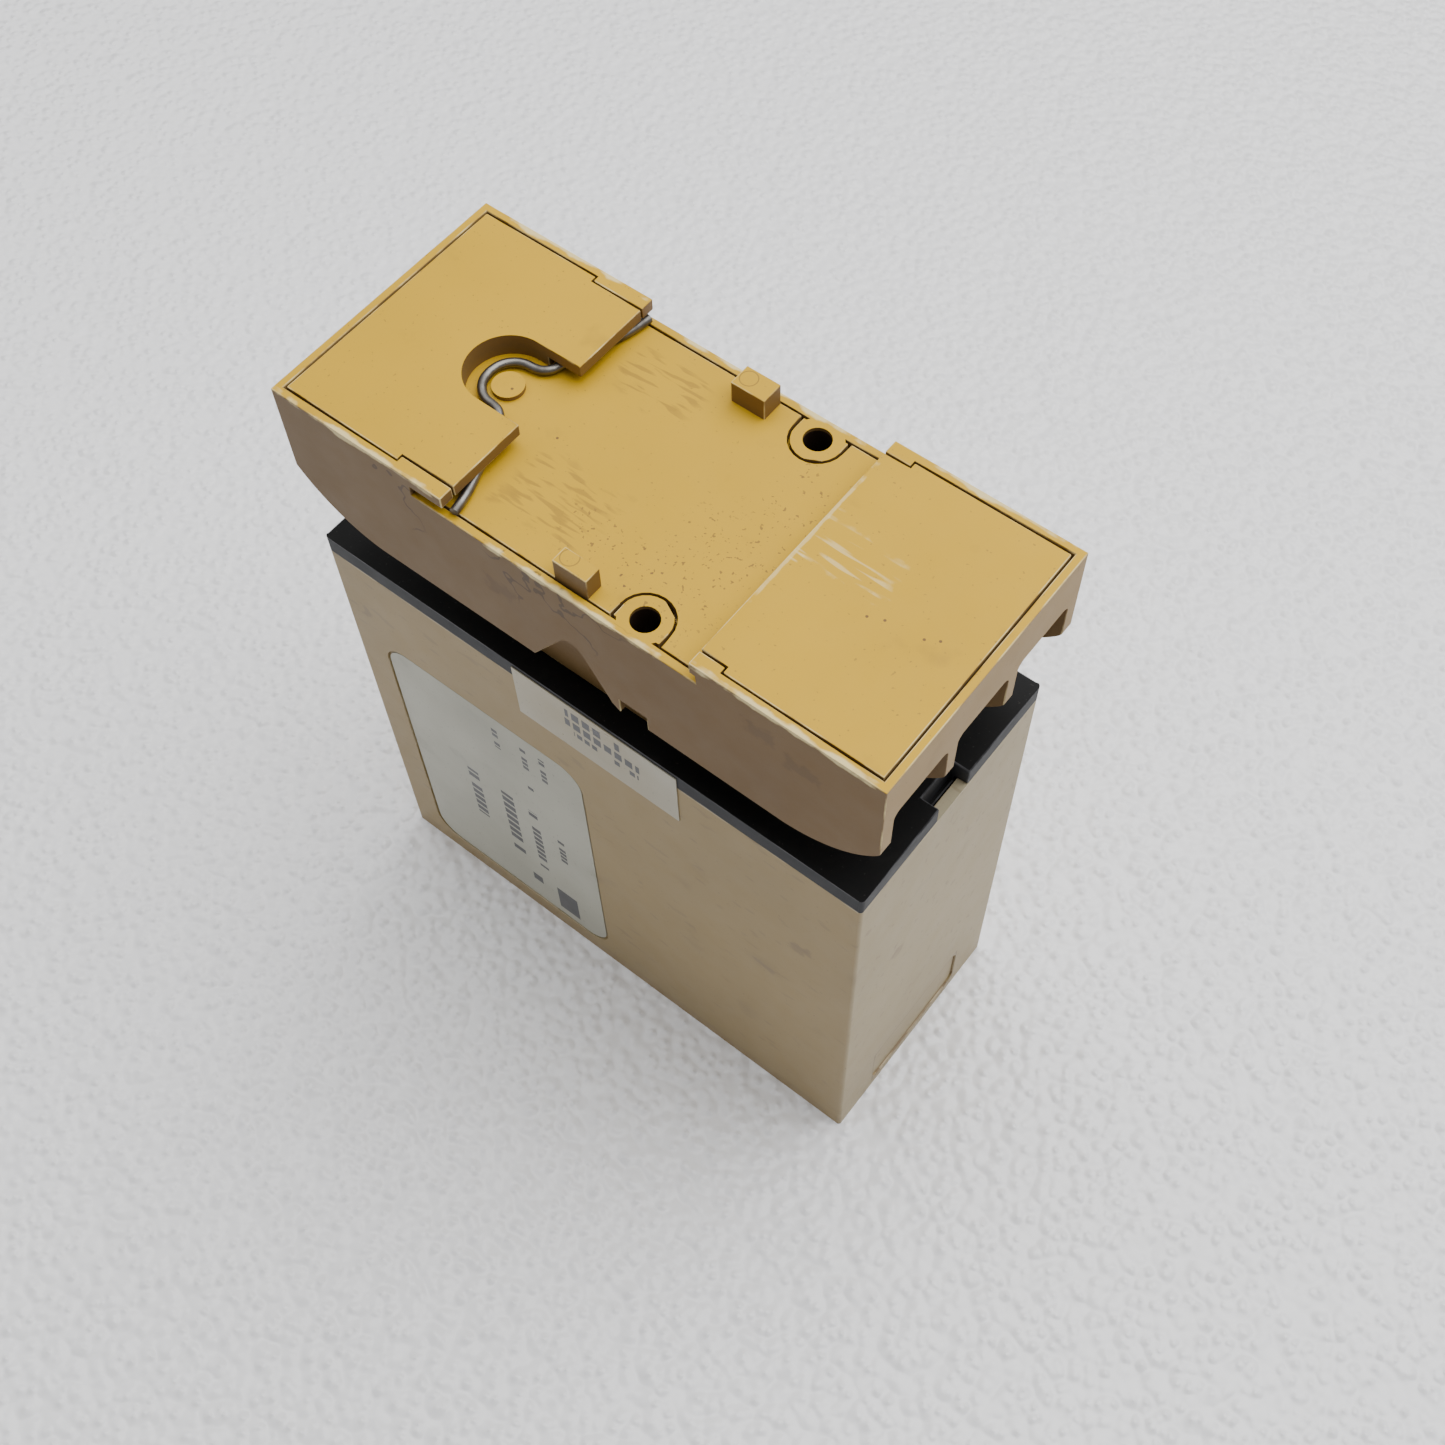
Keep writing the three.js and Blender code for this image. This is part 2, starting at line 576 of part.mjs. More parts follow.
function makeRearCover() {
  const slab = block([-plateX, plateX], [-plateY, plateY], [0.1 - PLATE_DEPTH, -SEAT_DEPTH]);
  const padZ = [-SEAT_DEPTH, 0];
  const narrow = hookInside - RIM_GAP;
  const pads = [
    block([-plateX, HOOK_LEFT - RIM_GAP], [-plateY, plateY], padZ),
    block([HOOK_LEFT - 1, SEAT_LEFT], [-narrow, narrow], padZ),
    block([SEAT_RIGHT, HOOK_RIGHT + 1], [-narrow, narrow], padZ),
    block([HOOK_RIGHT + RIM_GAP, plateX], [-plateY, plateY], padZ),
  ];
  const nubs = [
    block(NUB_X, [-plateY, NUB_NEAR_Y], padZ),
    block(NUB_X, [NUB_FAR_Y, plateY], padZ),
  ];
  const post = rod(POST_PLACE[0], POST_PLACE[1], 1.9, [-SEAT_DEPTH, POST_TOP], 24);
  const undercuts = [
    block([UNDERCUT_LEFT, SEAT_LEFT + 1], [-20, 20], [-SEAT_DEPTH, -LIP]),
    block([SEAT_RIGHT - 1, UNDERCUT_RIGHT], [-20, 20], [-SEAT_DEPTH, -LIP]),
  ];
  const window = new THREE.Shape();
  window.moveTo(SEAT_LEFT + 1, -5);
  window.lineTo(SEAT_LEFT + 1, 5);
  window.absarc(-22.2, 0, 5, Math.PI / 2, 1.5 * Math.PI);
  const bossCuts = bothSides.flatMap((side) => {
    const reach = BOSS_RADIUS + BOSS_GAP;
    const y = side > 0 ? [HOLE_Y, 20] : [-20, -HOLE_Y];
    return [
      rod(HOLE_X, side * HOLE_Y, reach, [-6, 1]),
      block([HOLE_X - reach, HOLE_X + reach], y, [-6, 1]),
    ];
  });
  const body = cut(join([slab, ...pads, ...nubs]), [...undercuts, ...bossCuts]);
  return body.subtract(prism(window, 'z', [-SEAT_DEPTH, 1], 12)).add(post);
}

addPiece(socket, 'rear_cover', toGeometry(makeRearCover()), ochrePlastic);

// Rail spring: one bent wire, made as a loop round the post and two arms that the rail pushes aside
const WIRE_RADIUS = 0.55;
const WIRE_Z = -2.32;
const LOOP_HALF = [
  [-25.15, 0], [-24.9, -1.3], [-24.1, -2.45], [-22.9, -3.15], [-21.6, -3.35], [-20.9, -3.5],
];
const NEAR_ARM = [
  [-20.6, -3.65], [-19.9, -4.3], [-19.35, -5.4], [-16.15, -13.1], [-15.65, -14.8], [-15.25, -16.7],
];
const FAR_ARM = [
  [-20.6, 3.65], [-19.9, 4.3], [-19.45, 5.4], [-16.75, 13.1], [-16.35, 14.8], [-16.05, 16.7],
];

function wire(points, steps) {
  const path = new THREE.CatmullRomCurve3(points.map(([x, y]) => new THREE.Vector3(x, y, WIRE_Z)));
  const section = new THREE.Shape().absarc(0, 0, WIRE_RADIUS, 0, 2 * Math.PI);
  const options = { steps, curveSegments: 4, bevelEnabled: false, extrudePath: path };
  return new THREE.ExtrudeGeometry(section, options);
}

const acrossY = ([x, y]) => [x, -y];
const loopWhole = [...LOOP_HALF.slice(1).map(acrossY).reverse(), ...LOOP_HALF];
addPiece(socket, 'rail_spring_loop', wire(loopWhole, 22), springSteel);
addPiece(socket, 'rail_spring_arm_near', wire(NEAR_ARM, 12), springSteel);
addPiece(socket, 'rail_spring_arm_far', wire(FAR_ARM, 12), springSteel);

// Contacts: a brass sleeve for the pin, a strip to the terminal, a riser and a threaded plate
function makeContact(index) {
  const [x, y] = pinPlace(index);
  const place = terminalPlace(TERMINALS[index]);
  const { end } = TERMINALS[index];
  const riserX = riserRange(place.riserX, RISER_THICK, 0);
  const riserY = riserRange(place.riserY, RISER_WIDTH, 0);
  const plateZ = [-place.floor - TERMINAL_PLATE - 0.05, -place.floor - 0.05];
  const reach = [place.x - 4.6, place.x + 3.2];
  const plateSpan = end > 0 ? reach : mirrored([-place.x - 4.6, -place.x + 3.2]);
  const body = join([
    rod(x, y, 1.9, [-24, STRIP_TOP], 10),
    strip(stripPoints(index), STRIP_WIDTH, [STRIP_LOW, STRIP_TOP]),
    block(riserX, riserY, [plateZ[0], STRIP_TOP]),
    block(plateSpan, [place.y - 2.8, place.y + 2.8], plateZ),
  ]);
  const thread = rod(place.x, place.y, SCREW_RADIUS + 0.3, [plateZ[0] - 1, plateZ[1] + 1], 10);
  return cut(body, [rod(x, y, 1.45, [deep, 0], 10), thread]);
}

TERMINALS.forEach((terminal, index) => {
  addPiece(socket, `contact_${index + 1}`, toGeometry(makeContact(index)), brass);
});

// Wire clamps: pressed plates with turned-up edges, held captive under the screw heads
const CLAMP_Z = [-2.55, -1.55];

function makeClamp() {
  const plate = block([-3.3, 3.3], [-3.7, 3.7], CLAMP_Z);
  const lips = bothSides.map((side) => {
    const y = [3.05, 3.7];
    return block([-3.3, 3.3], side > 0 ? y : mirrored(y), [CLAMP_Z[0], -0.9]);
  });
  return cut(join([plate, ...lips]), [rod(0, 0, SCREW_RADIUS + CLEAR, [-4, 0], 12)]);
}

// Terminal screws: pan heads with a straight slot, heads down
function makeScrew() {
  const profile = [
    [0, 2.35], [SCREW_RADIUS - 0.4, 2.35], [SCREW_RADIUS, 1.9], [SCREW_RADIUS, -2.6],
    [3.1, -2.6], [3.1, -3.9], [2.7, -4.6], [1.7, -4.9], [0, -4.9],
  ].map(([radius, height]) => new THREE.Vector2(radius, height));
  const body = toSolid(new THREE.LatheGeometry(profile.reverse(), 12).rotateX(Math.PI / 2));
  return body.subtract(block([-4, 4], [-0.45, 0.45], [-6, -3.8]));
}

const clampGeometry = toGeometry(makeClamp());
const screwGeometry = toGeometry(makeScrew());

TERMINALS.forEach((terminal, index) => {
  const place = terminalPlace(terminal);
  const clamp = addPiece(socket, `wire_clamp_${index + 1}`, clampGeometry, platedSteel);
  clamp.position.set(place.x, place.y, -place.floor);
  const screw = addPiece(socket, `terminal_screw_${index + 1}`, screwGeometry, platedSteel);
  screw.position.set(place.x, place.y, -place.floor);
});

export default part;
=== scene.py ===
from math import cos, pi, radians, sin

import bmesh
import bpy
from mathutils import Euler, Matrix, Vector


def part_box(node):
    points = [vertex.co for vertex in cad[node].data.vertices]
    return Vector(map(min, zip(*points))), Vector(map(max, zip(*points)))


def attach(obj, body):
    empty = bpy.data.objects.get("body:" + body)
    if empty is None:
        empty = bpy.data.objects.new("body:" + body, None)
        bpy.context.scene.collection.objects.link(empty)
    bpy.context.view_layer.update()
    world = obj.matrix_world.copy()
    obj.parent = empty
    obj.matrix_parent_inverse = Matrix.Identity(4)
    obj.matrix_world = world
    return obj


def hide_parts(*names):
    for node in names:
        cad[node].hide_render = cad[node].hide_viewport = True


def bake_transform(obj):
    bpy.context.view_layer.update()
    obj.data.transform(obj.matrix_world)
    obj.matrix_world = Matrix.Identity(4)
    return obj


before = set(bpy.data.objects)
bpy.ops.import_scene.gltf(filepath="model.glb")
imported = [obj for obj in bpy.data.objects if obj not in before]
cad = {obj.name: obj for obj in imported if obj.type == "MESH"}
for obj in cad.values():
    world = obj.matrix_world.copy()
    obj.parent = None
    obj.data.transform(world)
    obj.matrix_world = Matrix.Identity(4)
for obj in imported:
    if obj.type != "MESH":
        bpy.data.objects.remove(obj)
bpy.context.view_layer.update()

MM = 0.001

# Camera: stands above the right-hand front corner and looks steeply down on the socket's back,
# with a lens a little longer than normal.
camera_data = bpy.data.cameras.new("camera")
camera_data.lens = 46.55
camera_data.sensor_width = 36.0
camera_data.clip_start = 0.01
camera = bpy.data.objects.new("camera", camera_data)
camera.location = Vector((82.83, -90.85, 254.25)) * MM
camera.rotation_euler = Euler((radians(30.590), radians(1.135), radians(38.155)))
bpy.context.scene.collection.objects.link(camera)
bpy.context.scene.camera = camera

# Floor: a wide pale sheet of packing foam under the relay's front face. Its skin is a fine pebble
# with a soft sheen that catches the light.
FLOOR_COLOUR = (0.87, 0.87, 0.88, 1)
FLOOR_HALF = 1.5
PEBBLES_PER_METRE = 640


def painted(name):
    """An empty material: its nodes, its links and the shader to plug into."""
    material = bpy.data.materials.new(name)
    material.use_nodes = True
    nodes = material.node_tree.nodes
    return material, nodes, material.node_tree.links, nodes["Principled BSDF"]


bm = bmesh.new()
bmesh.ops.create_grid(bm, x_segments=2, y_segments=2, size=FLOOR_HALF)
floor_mesh = bpy.data.meshes.new("floor")
bm.to_mesh(floor_mesh)
bm.free()
floor = bpy.data.objects.new("floor", floor_mesh)
bpy.context.scene.collection.objects.link(floor)
floor_finish, nodes, links, shader = painted("pale_foam")
shader.inputs["Base Color"].default_value = FLOOR_COLOUR
shader.inputs["Roughness"].default_value = 0.24
place = nodes.new("ShaderNodeTexCoord")
pebbles = nodes.new("ShaderNodeTexVoronoi")
pebbles.feature = "SMOOTH_F1"
pebbles.inputs["Scale"].default_value = PEBBLES_PER_METRE
relief = nodes.new("ShaderNodeBump")
relief.invert = True
relief.inputs["Strength"].default_value = 0.85
relief.inputs["Distance"].default_value = 1.0 * MM
links.new(place.outputs["Object"], pebbles.inputs["Vector"])
links.new(pebbles.outputs["Distance"], relief.inputs["Height"])
links.new(relief.outputs["Normal"], shader.inputs["Normal"])
floor.data.materials.append(floor_finish)

# Light: a broad soft light high over the far right, a weak one from the left, and a dim room all
# round. The sides turned to the camera are lit mostly by the floor.
LIGHTS = {
    "key": ((0.16, 0.36, 0.90), 1.20, 18.5),
    "fill": ((-0.80, -0.10, 0.70), 1.00, 4.0),
}
for name, (spot, size, power) in LIGHTS.items():
    lamp_data = bpy.data.lights.new(name, "AREA")
    lamp_data.size = size
    lamp_data.energy = power
    lamp = bpy.data.objects.new(name, lamp_data)
    lamp.location = spot
    lamp.rotation_euler = (Vector((0, 0, 0.05)) - lamp.location).to_track_quat("-Z", "Y").to_euler()
    bpy.context.scene.collection.objects.link(lamp)
room = bpy.data.worlds.new("room")
room.use_nodes = True
room.node_tree.nodes["Background"].inputs["Color"].default_value = (0.92, 0.93, 0.95, 1)
room.node_tree.nodes["Background"].inputs["Strength"].default_value = 0.36
bpy.context.scene.world = room

# Relay cover: a deep box moulded in cream plastic, aged and handled, with a sunk field for the
# rating label and another on the end. The base plate snaps into its open end.
EDGE_ANGLE = radians(32)
END_DEPTH = 9 * MM
COVER_EDGE = 0.22 * MM
DARKER_SHADE = 0.90


def kept(bm, name):
    """The finished mesh as an object, smooth over its rounded edges and flat on its faces."""
    for face in bm.faces:
        face.smooth = True
    for edge in bm.edges:
        edge.smooth = len(edge.link_faces) != 2 or edge.calc_face_angle(0) < EDGE_ANGLE
    mesh = bpy.data.meshes.new(name)
    bm.to_mesh(mesh)
    bm.free()
    piece = bpy.data.objects.new(name, mesh)
    bpy.context.scene.collection.objects.link(piece)
    even = piece.modifiers.new("even", "WEIGHTED_NORMAL")
    even.keep_sharp = True
    return piece


def softened(node, name, width, shortest=1.2 * MM):
    """The CAD node with its long outside edges rounded as a mould leaves them. "edge" marks those
    edges, "wall" all its faces but those that look up, and "end" the faces of its two ends."""
    bm = bmesh.new()
    bm.from_mesh(cad[node].data)
    bmesh.ops.remove_doubles(bm, verts=bm.verts, dist=0.002 * MM)
    bmesh.ops.dissolve_limit(bm, angle_limit=radians(1), verts=bm.verts, edges=bm.edges)
    rounded = [
        edge for edge in bm.edges
        if len(edge.link_faces) == 2
        and edge.calc_face_angle_signed(0) > EDGE_ANGLE
        and edge.calc_length() > shortest
    ]
    marks = bm.faces.layers.float.new("edge")
    made = bmesh.ops.bevel(bm, geom=rounded, offset=width, offset_type="OFFSET", segments=2,
                           profile=0.5, affect="EDGES", clamp_overlap=False, material=-1)
    for face in made["faces"]:
        face[marks] = 1
    bm.normal_update()
    # The wall and end marks steer where plastic lays its painted light and shade.
    walls = bm.faces.layers.float.new("wall")
    ends = bm.faces.layers.float.new("end")
    reach = max(abs(vertex.co.x) for vertex in bm.verts)
    for face in bm.faces:
        face[walls] = 1 - max(face.normal.z, 0) ** 2
        depth = reach - abs(face.calc_center_median().x)
        face[ends] = face.normal.x ** 2 * max(1 - depth / END_DEPTH, 0)
    return kept(bm, name)


def shared(name, inputs, outputs):
    """A node group with named sockets: its tree, its input node and its output node."""
    tree = bpy.data.node_groups.new(name, "ShaderNodeTree")
    for label, kind, value in inputs:
        socket = tree.interface.new_socket(name=label, in_out="INPUT", socket_type=kind)
        socket.default_value = value
    for label, kind in outputs:
        tree.interface.new_socket(name=label, in_out="OUTPUT", socket_type=kind)
    return tree, tree.nodes.new("NodeGroupInput"), tree.nodes.new("NodeGroupOutput")


def cloud(tree, vector, scale, detail):
    noise = tree.nodes.new("ShaderNodeTexNoise")
    noise.inputs["Detail"].default_value = detail
    if hasattr(scale, "links"):
        tree.links.new(scale, noise.inputs["Scale"])
    else:
        noise.inputs["Scale"].default_value = scale
    tree.links.new(vector, noise.inputs["Vector"])
    return noise.outputs["Fac"]


def ramp(tree, value, low, high, bottom=0.0, top=1.0):
    step = tree.nodes.new("ShaderNodeMapRange")
    step.inputs["From Min"].default_value = low
    step.inputs["From Max"].default_value = high
    step.inputs["To Min"].default_value = bottom
    step.inputs["To Max"].default_value = top
    tree.links.new(value, step.inputs["Value"])
    return step.outputs["Result"]


def sum_up(tree, operation, first, second):
    node = tree.nodes.new("ShaderNodeMath")
    node.operation = operation
    for index, value in enumerate((first, second)):
        if hasattr(value, "links"):
            tree.links.new(value, node.inputs[index])
        else:
            node.inputs[index].default_value = value
    return node.outputs[0]


def blended(tree, mask, first, second):
    mix = tree.nodes.new("ShaderNodeMix")
    mix.data_type = "RGBA"
    tree.links.new(mask, mix.inputs[0])
    for socket, value in ((mix.inputs[6], first), (mix.inputs[7], second)):
        if hasattr(value, "links"):
            tree.links.new(value, socket)
        else:
            socket.default_value = value
    return mix.outputs[2]


def position(tree, scale=(1, 1, 1)):
    where = tree.nodes.new("ShaderNodeTexCoord")
    mapping = tree.nodes.new("ShaderNodeMapping")
    mapping.inputs["Scale"].default_value = scale
    tree.links.new(where.outputs["Object"], mapping.inputs["Vector"])
    return mapping.outputs["Vector"]


def moulding_group():
    """Moulded plastic: slow changes of shade, a fine grain, and specks of dirt."""
    tree, ins, outs = shared(
        "moulded_plastic",
        [("Colour", "NodeSocketColor", (1, 1, 1, 1)), ("Other Colour", "NodeSocketColor", (1, 1, 1, 1)),
         ("Dirt Colour", "NodeSocketColor", (0, 0, 0, 1)), ("Dirt", "NodeSocketFloat", 0.5),
         ("Low Roughness", "NodeSocketFloat", 0.4), ("High Roughness", "NodeSocketFloat", 0.6)],
        [("Colour", "NodeSocketColor"), ("Roughness", "NodeSocketFloat"), ("Height", "NodeSocketFloat")])
    where = position(tree)
    shade = ramp(tree, cloud(tree, where, 38, 4), 0.35, 0.68)
    colour = blended(tree, shade, ins.outputs["Colour"], ins.outputs["Other Colour"])
    specks = ramp(tree, cloud(tree, where, 2300, 1), 0.72, 0.77)
    smudges = ramp(tree, cloud(tree, where, 150, 5), 0.64, 0.76)
    dirt = sum_up(tree, "MAXIMUM", specks, sum_up(tree, "MULTIPLY", smudges, 0.5))
    dirt = sum_up(tree, "MULTIPLY", dirt, ins.outputs["Dirt"])
    tree.links.new(blended(tree, dirt, colour, ins.outputs["Dirt Colour"]), outs.inputs["Colour"])
    gloss = tree.nodes.new("ShaderNodeMapRange")
    tree.links.new(cloud(tree, where, 260, 3), gloss.inputs["Value"])
    tree.links.new(ins.outputs["Low Roughness"], gloss.inputs["To Min"])
    tree.links.new(ins.outputs["High Roughness"], gloss.inputs["To Max"])
    tree.links.new(gloss.outputs["Result"], outs.inputs["Roughness"])
    tree.links.new(cloud(tree, where, 3600, 2), outs.inputs["Height"])
    return tree


def scratch_group():
    """Fine marks that run one way over patches of a surface."""
    tree, ins, outs = shared(
        "scratches",
        [("Across", "NodeSocketVector", (900, 30, 900)), ("Turn", "NodeSocketVector", (0, 0, 0)),
         ("Sparse", "NodeSocketFloat", 0.6)],
        [("Mask", "NodeSocketFloat")])
    where = tree.nodes.new("ShaderNodeTexCoord")
    mapping = tree.nodes.new("ShaderNodeMapping")
    tree.links.new(where.outputs["Object"], mapping.inputs["Vector"])
    tree.links.new(ins.outputs["Across"], mapping.inputs["Scale"])
    tree.links.new(ins.outputs["Turn"], mapping.inputs["Rotation"])
    above = sum_up(tree, "SUBTRACT", cloud(tree, mapping.outputs["Vector"], 1.0, 1), ins.outputs["Sparse"])
    tree.links.new(ramp(tree, above, 0.0, 0.07), outs.inputs["Mask"])
    return tree


def zone_group():
    """A box of surface with a soft and ragged rim, given by its middle and its half size."""
    tree, ins, outs = shared(
        "zone",
        [("Middle", "NodeSocketVector", (0, 0, 0)), ("Half", "NodeSocketVector", (1, 1, 1)),
         ("Grain", "NodeSocketFloat", 200.0), ("Broken", "NodeSocketFloat", 1.0),
         ("Soft", "NodeSocketFloat", 0.25)],
        [("Mask", "NodeSocketFloat")])
    spot = tree.nodes.new("ShaderNodeTexCoord").outputs["Object"]
    ragged = sum_up(tree, "MULTIPLY", cloud(tree, spot, ins.outputs["Grain"], 3), ins.outputs["Broken"])
    for operation, value in (("SUBTRACT", ins.outputs["Middle"]), ("ABSOLUTE", None),
                             ("DIVIDE", ins.outputs["Half"])):
        step = tree.nodes.new("ShaderNodeVectorMath")
        step.operation = operation
        tree.links.new(spot, step.inputs[0])
        if value is not None:
            tree.links.new(value, step.inputs[1])
        spot = step.outputs[0]
    parts = tree.nodes.new("ShaderNodeSeparateXYZ")
    tree.links.new(spot, parts.inputs[0])
    furthest = sum_up(tree, "MAXIMUM", sum_up(tree, "MAXIMUM", parts.outputs[0], parts.outputs[1]),
                      parts.outputs[2])
    past = sum_up(tree, "SUBTRACT", sum_up(tree, "ADD", furthest, ragged), 1.0)
    share = sum_up(tree, "DIVIDE", past, ins.outputs["Soft"])
    tree.links.new(ramp(tree, share, 0.0, 1.0, 1.0, 0.0), outs.inputs["Mask"])
    return tree


def edge_group():
    """Where handling has rubbed the moulded edges pale, broken up along their length."""
    tree, ins, outs = shared("rubbed_edges", [("Amount", "NodeSocketFloat", 1.0)],
                             [("Mask", "NodeSocketFloat")])
    mark = tree.nodes.new("ShaderNodeAttribute")
    mark.attribute_name = "edge"
    broken = ramp(tree, cloud(tree, position(tree), 260, 4), 0.40, 0.60)
    rubbed = sum_up(tree, "MULTIPLY", mark.outputs["Fac"], broken)
    tree.links.new(sum_up(tree, "MULTIPLY", rubbed, ins.outputs["Amount"]), outs.inputs["Mask"])
    return tree


MOULDING = moulding_group()
SCRATCHES = scratch_group()
ZONE = zone_group()
RUBBED = edge_group()


def group_node(tree, group, **values):
    node = tree.nodes.new("ShaderNodeGroup")
    node.node_tree = group
    for label, value in values.items():
        node.inputs[label.replace("_", " ")].default_value = value
    return node


def zone(tree, middle, half, grain=200.0, broken=1.0, soft=0.25):
    node = group_node(tree, ZONE, Middle=Vector(middle) * MM, Half=Vector(half) * MM,
                      Grain=grain, Broken=broken, Soft=soft)
    return node.outputs["Mask"]


def strokes(tree, across, sparse, turn=(0, 0, 0)):
    return group_node(tree, SCRATCHES, Across=across, Sparse=sparse, Turn=turn).outputs["Mask"]


def faint(tree, mask, strength):
    return sum_up(tree, "MULTIPLY", mask, strength)


def both(tree, first, second, strength=1.0):
    """Where two masks meet, at a given strength."""
    return faint(tree, sum_up(tree, "MULTIPLY", first, second), strength)


def plastic(name, face, wall, end, dirt, worn, amounts, gloss, marks=None, sheen=0.5):
    """A moulded plastic: its colour on faces that look up, and lit and shaded copies of it on walls
    and on the ends as painted light and shade, then its dirt, its own marks and its rubbed edges.
    Each colour drifts a little to a darker shade of itself.
    amounts holds how much dirt and how much rubbing there is, and gloss its range of roughness."""
    material, nodes, links, shader = painted(name)
    tree = material.node_tree
    upright = nodes.new("ShaderNodeAttribute")
    upright.attribute_name = "wall"
    outer = nodes.new("ShaderNodeAttribute")
    outer.attribute_name = "end"
    base = group_node(tree, MOULDING, Dirt_Colour=dirt, Dirt=amounts[0],
                      Low_Roughness=gloss[0], High_Roughness=gloss[1])
    # Painted light and shade: walls and ends take their own lit and shaded copies of the colour.
    for label, share in (("Colour", 1.0), ("Other Colour", DARKER_SHADE)):
        shades = [(*(share * value for value in colour), 1) for colour in (face, wall, end)]
        side = blended(tree, upright.outputs["Fac"], shades[0], shades[1])
        links.new(blended(tree, outer.outputs["Fac"], side, shades[2]), base.inputs[label])
    colour = base.outputs["Colour"]
    for mask, mark_colour in (marks(tree) if marks else []):
        colour = blended(tree, mask, colour, mark_colour)
    edges = group_node(tree, RUBBED, Amount=amounts[1])
    links.new(blended(tree, edges.outputs["Mask"], colour, worn), shader.inputs["Base Color"])
    links.new(base.outputs["Roughness"], shader.inputs["Roughness"])
    shader.inputs["Specular IOR Level"].default_value = sheen
    relief = nodes.new("ShaderNodeBump")
    relief.inputs["Strength"].default_value = 0.25
    relief.inputs["Distance"].default_value = 0.03 * MM
    links.new(base.outputs["Height"], relief.inputs["Height"])
    links.new(relief.outputs["Normal"], shader.inputs["Normal"])
    return material


# Stains on the case: the middle and the half size of each
STAINS = [
    ((-37, -17.3, 60), (1.6, 1, 2.6)), ((16.8, -17.3, 60), (2.6, 1, 1.3)),
    ((14, -17.3, 35), (1.6, 1, 3.2)), ((6, -17.3, 36), (3.4, 1, 1.2)),
    ((27, -17.3, 37), (4.5, 1, 1.6)), ((31.6, -17.3, 50), (2.4, 1, 2.0)),
    ((40, 6, 55), (1, 3.0, 1.4)), ((40, -8, 44), (1, 2.2, 3.0)),
]
STAIN_AND_SHADE_COLOUR = (0.20, 0.14, 0.075, 1)
LOW_BAND_COLOUR = (0.26, 0.18, 0.08, 1)
# The case is painted darker up to this height, in a box wider than the case
LOW_BAND_HALF = (60, 60, 3.5)
# The end's sunk field, and the width of the painted shade along the step round it
END_FIELD = (40, 0.1, 6.55)
END_FIELD_HALF = (3, 9.95, 4.8)
STEP_WIDTH = 0.35


def case_marks(tree):
    """Handling stains, faint strokes over the whole case, a darker band low down, and painted shade
    along the step round the field.
    """
    marks = []
    lines = strokes(tree, (420, 420, 420), 0.52)
    for middle, half in STAINS:
        marks.append((both(tree, zone(tree, middle, half, 500), lines, 0.55), STAIN_AND_SHADE_COLOUR))
    handled = strokes(tree, (260, 900, 700), 0.66, (0.3, 0.4, 0.5))
    marks.append((faint(tree, handled, 0.35), STAIN_AND_SHADE_COLOUR))
    # Painted darker low down, where the case stands on the floor.
    marks.append((faint(tree, zone(tree, (0, 0, 0), LOW_BAND_HALF, 300), 0.5), LOW_BAND_COLOUR))
    # Painted shade: a dark band just inside the edge of the end's sunk field, along its step.
    depth, width, height = END_FIELD_HALF
    inner_half = (depth, width - STEP_WIDTH, height - STEP_WIDTH)
    outer = zone(tree, END_FIELD, END_FIELD_HALF, 300, 0.01, 0.01)
    inner = zone(tree, END_FIELD, inner_half, 300, 0.01, 0.01)
    marks.append((faint(tree, sum_up(tree, "SUBTRACT", outer, inner), 0.9), STAIN_AND_SHADE_COLOUR))
    return marks


# The cream is painted darker and browner on walls, partly a yellowing of its own and partly painted shade,
# and the ends between the two as painted light.
cream = plastic("cream_plastic", (0.40, 0.345, 0.22), (0.34, 0.24, 0.098), (0.375, 0.295, 0.16),
                (0.12, 0.08, 0.04, 1), (0.56, 0.47, 0.30, 1), (0.35, 0.6), (0.42, 0.58), case_marks)
cover = softened("relay_cover", "cover_shell", COVER_EDGE)
cover.data.materials.append(cream)
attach(cover, "root")
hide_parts("relay_cover")

# Base plate: black plastic with a spark-finished grain. It closes the cover, holds the pins and
# carries the keyed post. Its edge is seen as a dark band round the case.
PLATE_EDGE = 0.20 * MM
# Painted light and shade: the top is painted near black as the socket's shadow, and the walls a lighter
# grey as a painted reflection of the floor.
black = plastic("black_plastic", (0.002, 0.002, 0.002), (0.030, 0.031, 0.034), (0.022, 0.022, 0.024),
                (0.030, 0.028, 0.025, 1), (0.10, 0.10, 0.105, 1), (0.5, 0.9), (0.45, 0.65), sheen=0.18)
plate = softened("base_plate", "plug_plate", PLATE_EDGE)
plate.data.materials.append(black)
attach(plate, "root")
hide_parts("base_plate")

# Pins: eleven turned brass pins with round noses, pressed into the base plate round its post.
PINS = 11
PIN_RADIUS = 1.18 * MM
PIN_FLANGE = 2.1 * MM
FLANGE_DEPTH = 0.85 * MM
TAIL_RADIUS = 0.6 * MM
PIN_BURIED = 7.95 * MM
PIN_FACETS = 28
ROUND_STEPS = 6


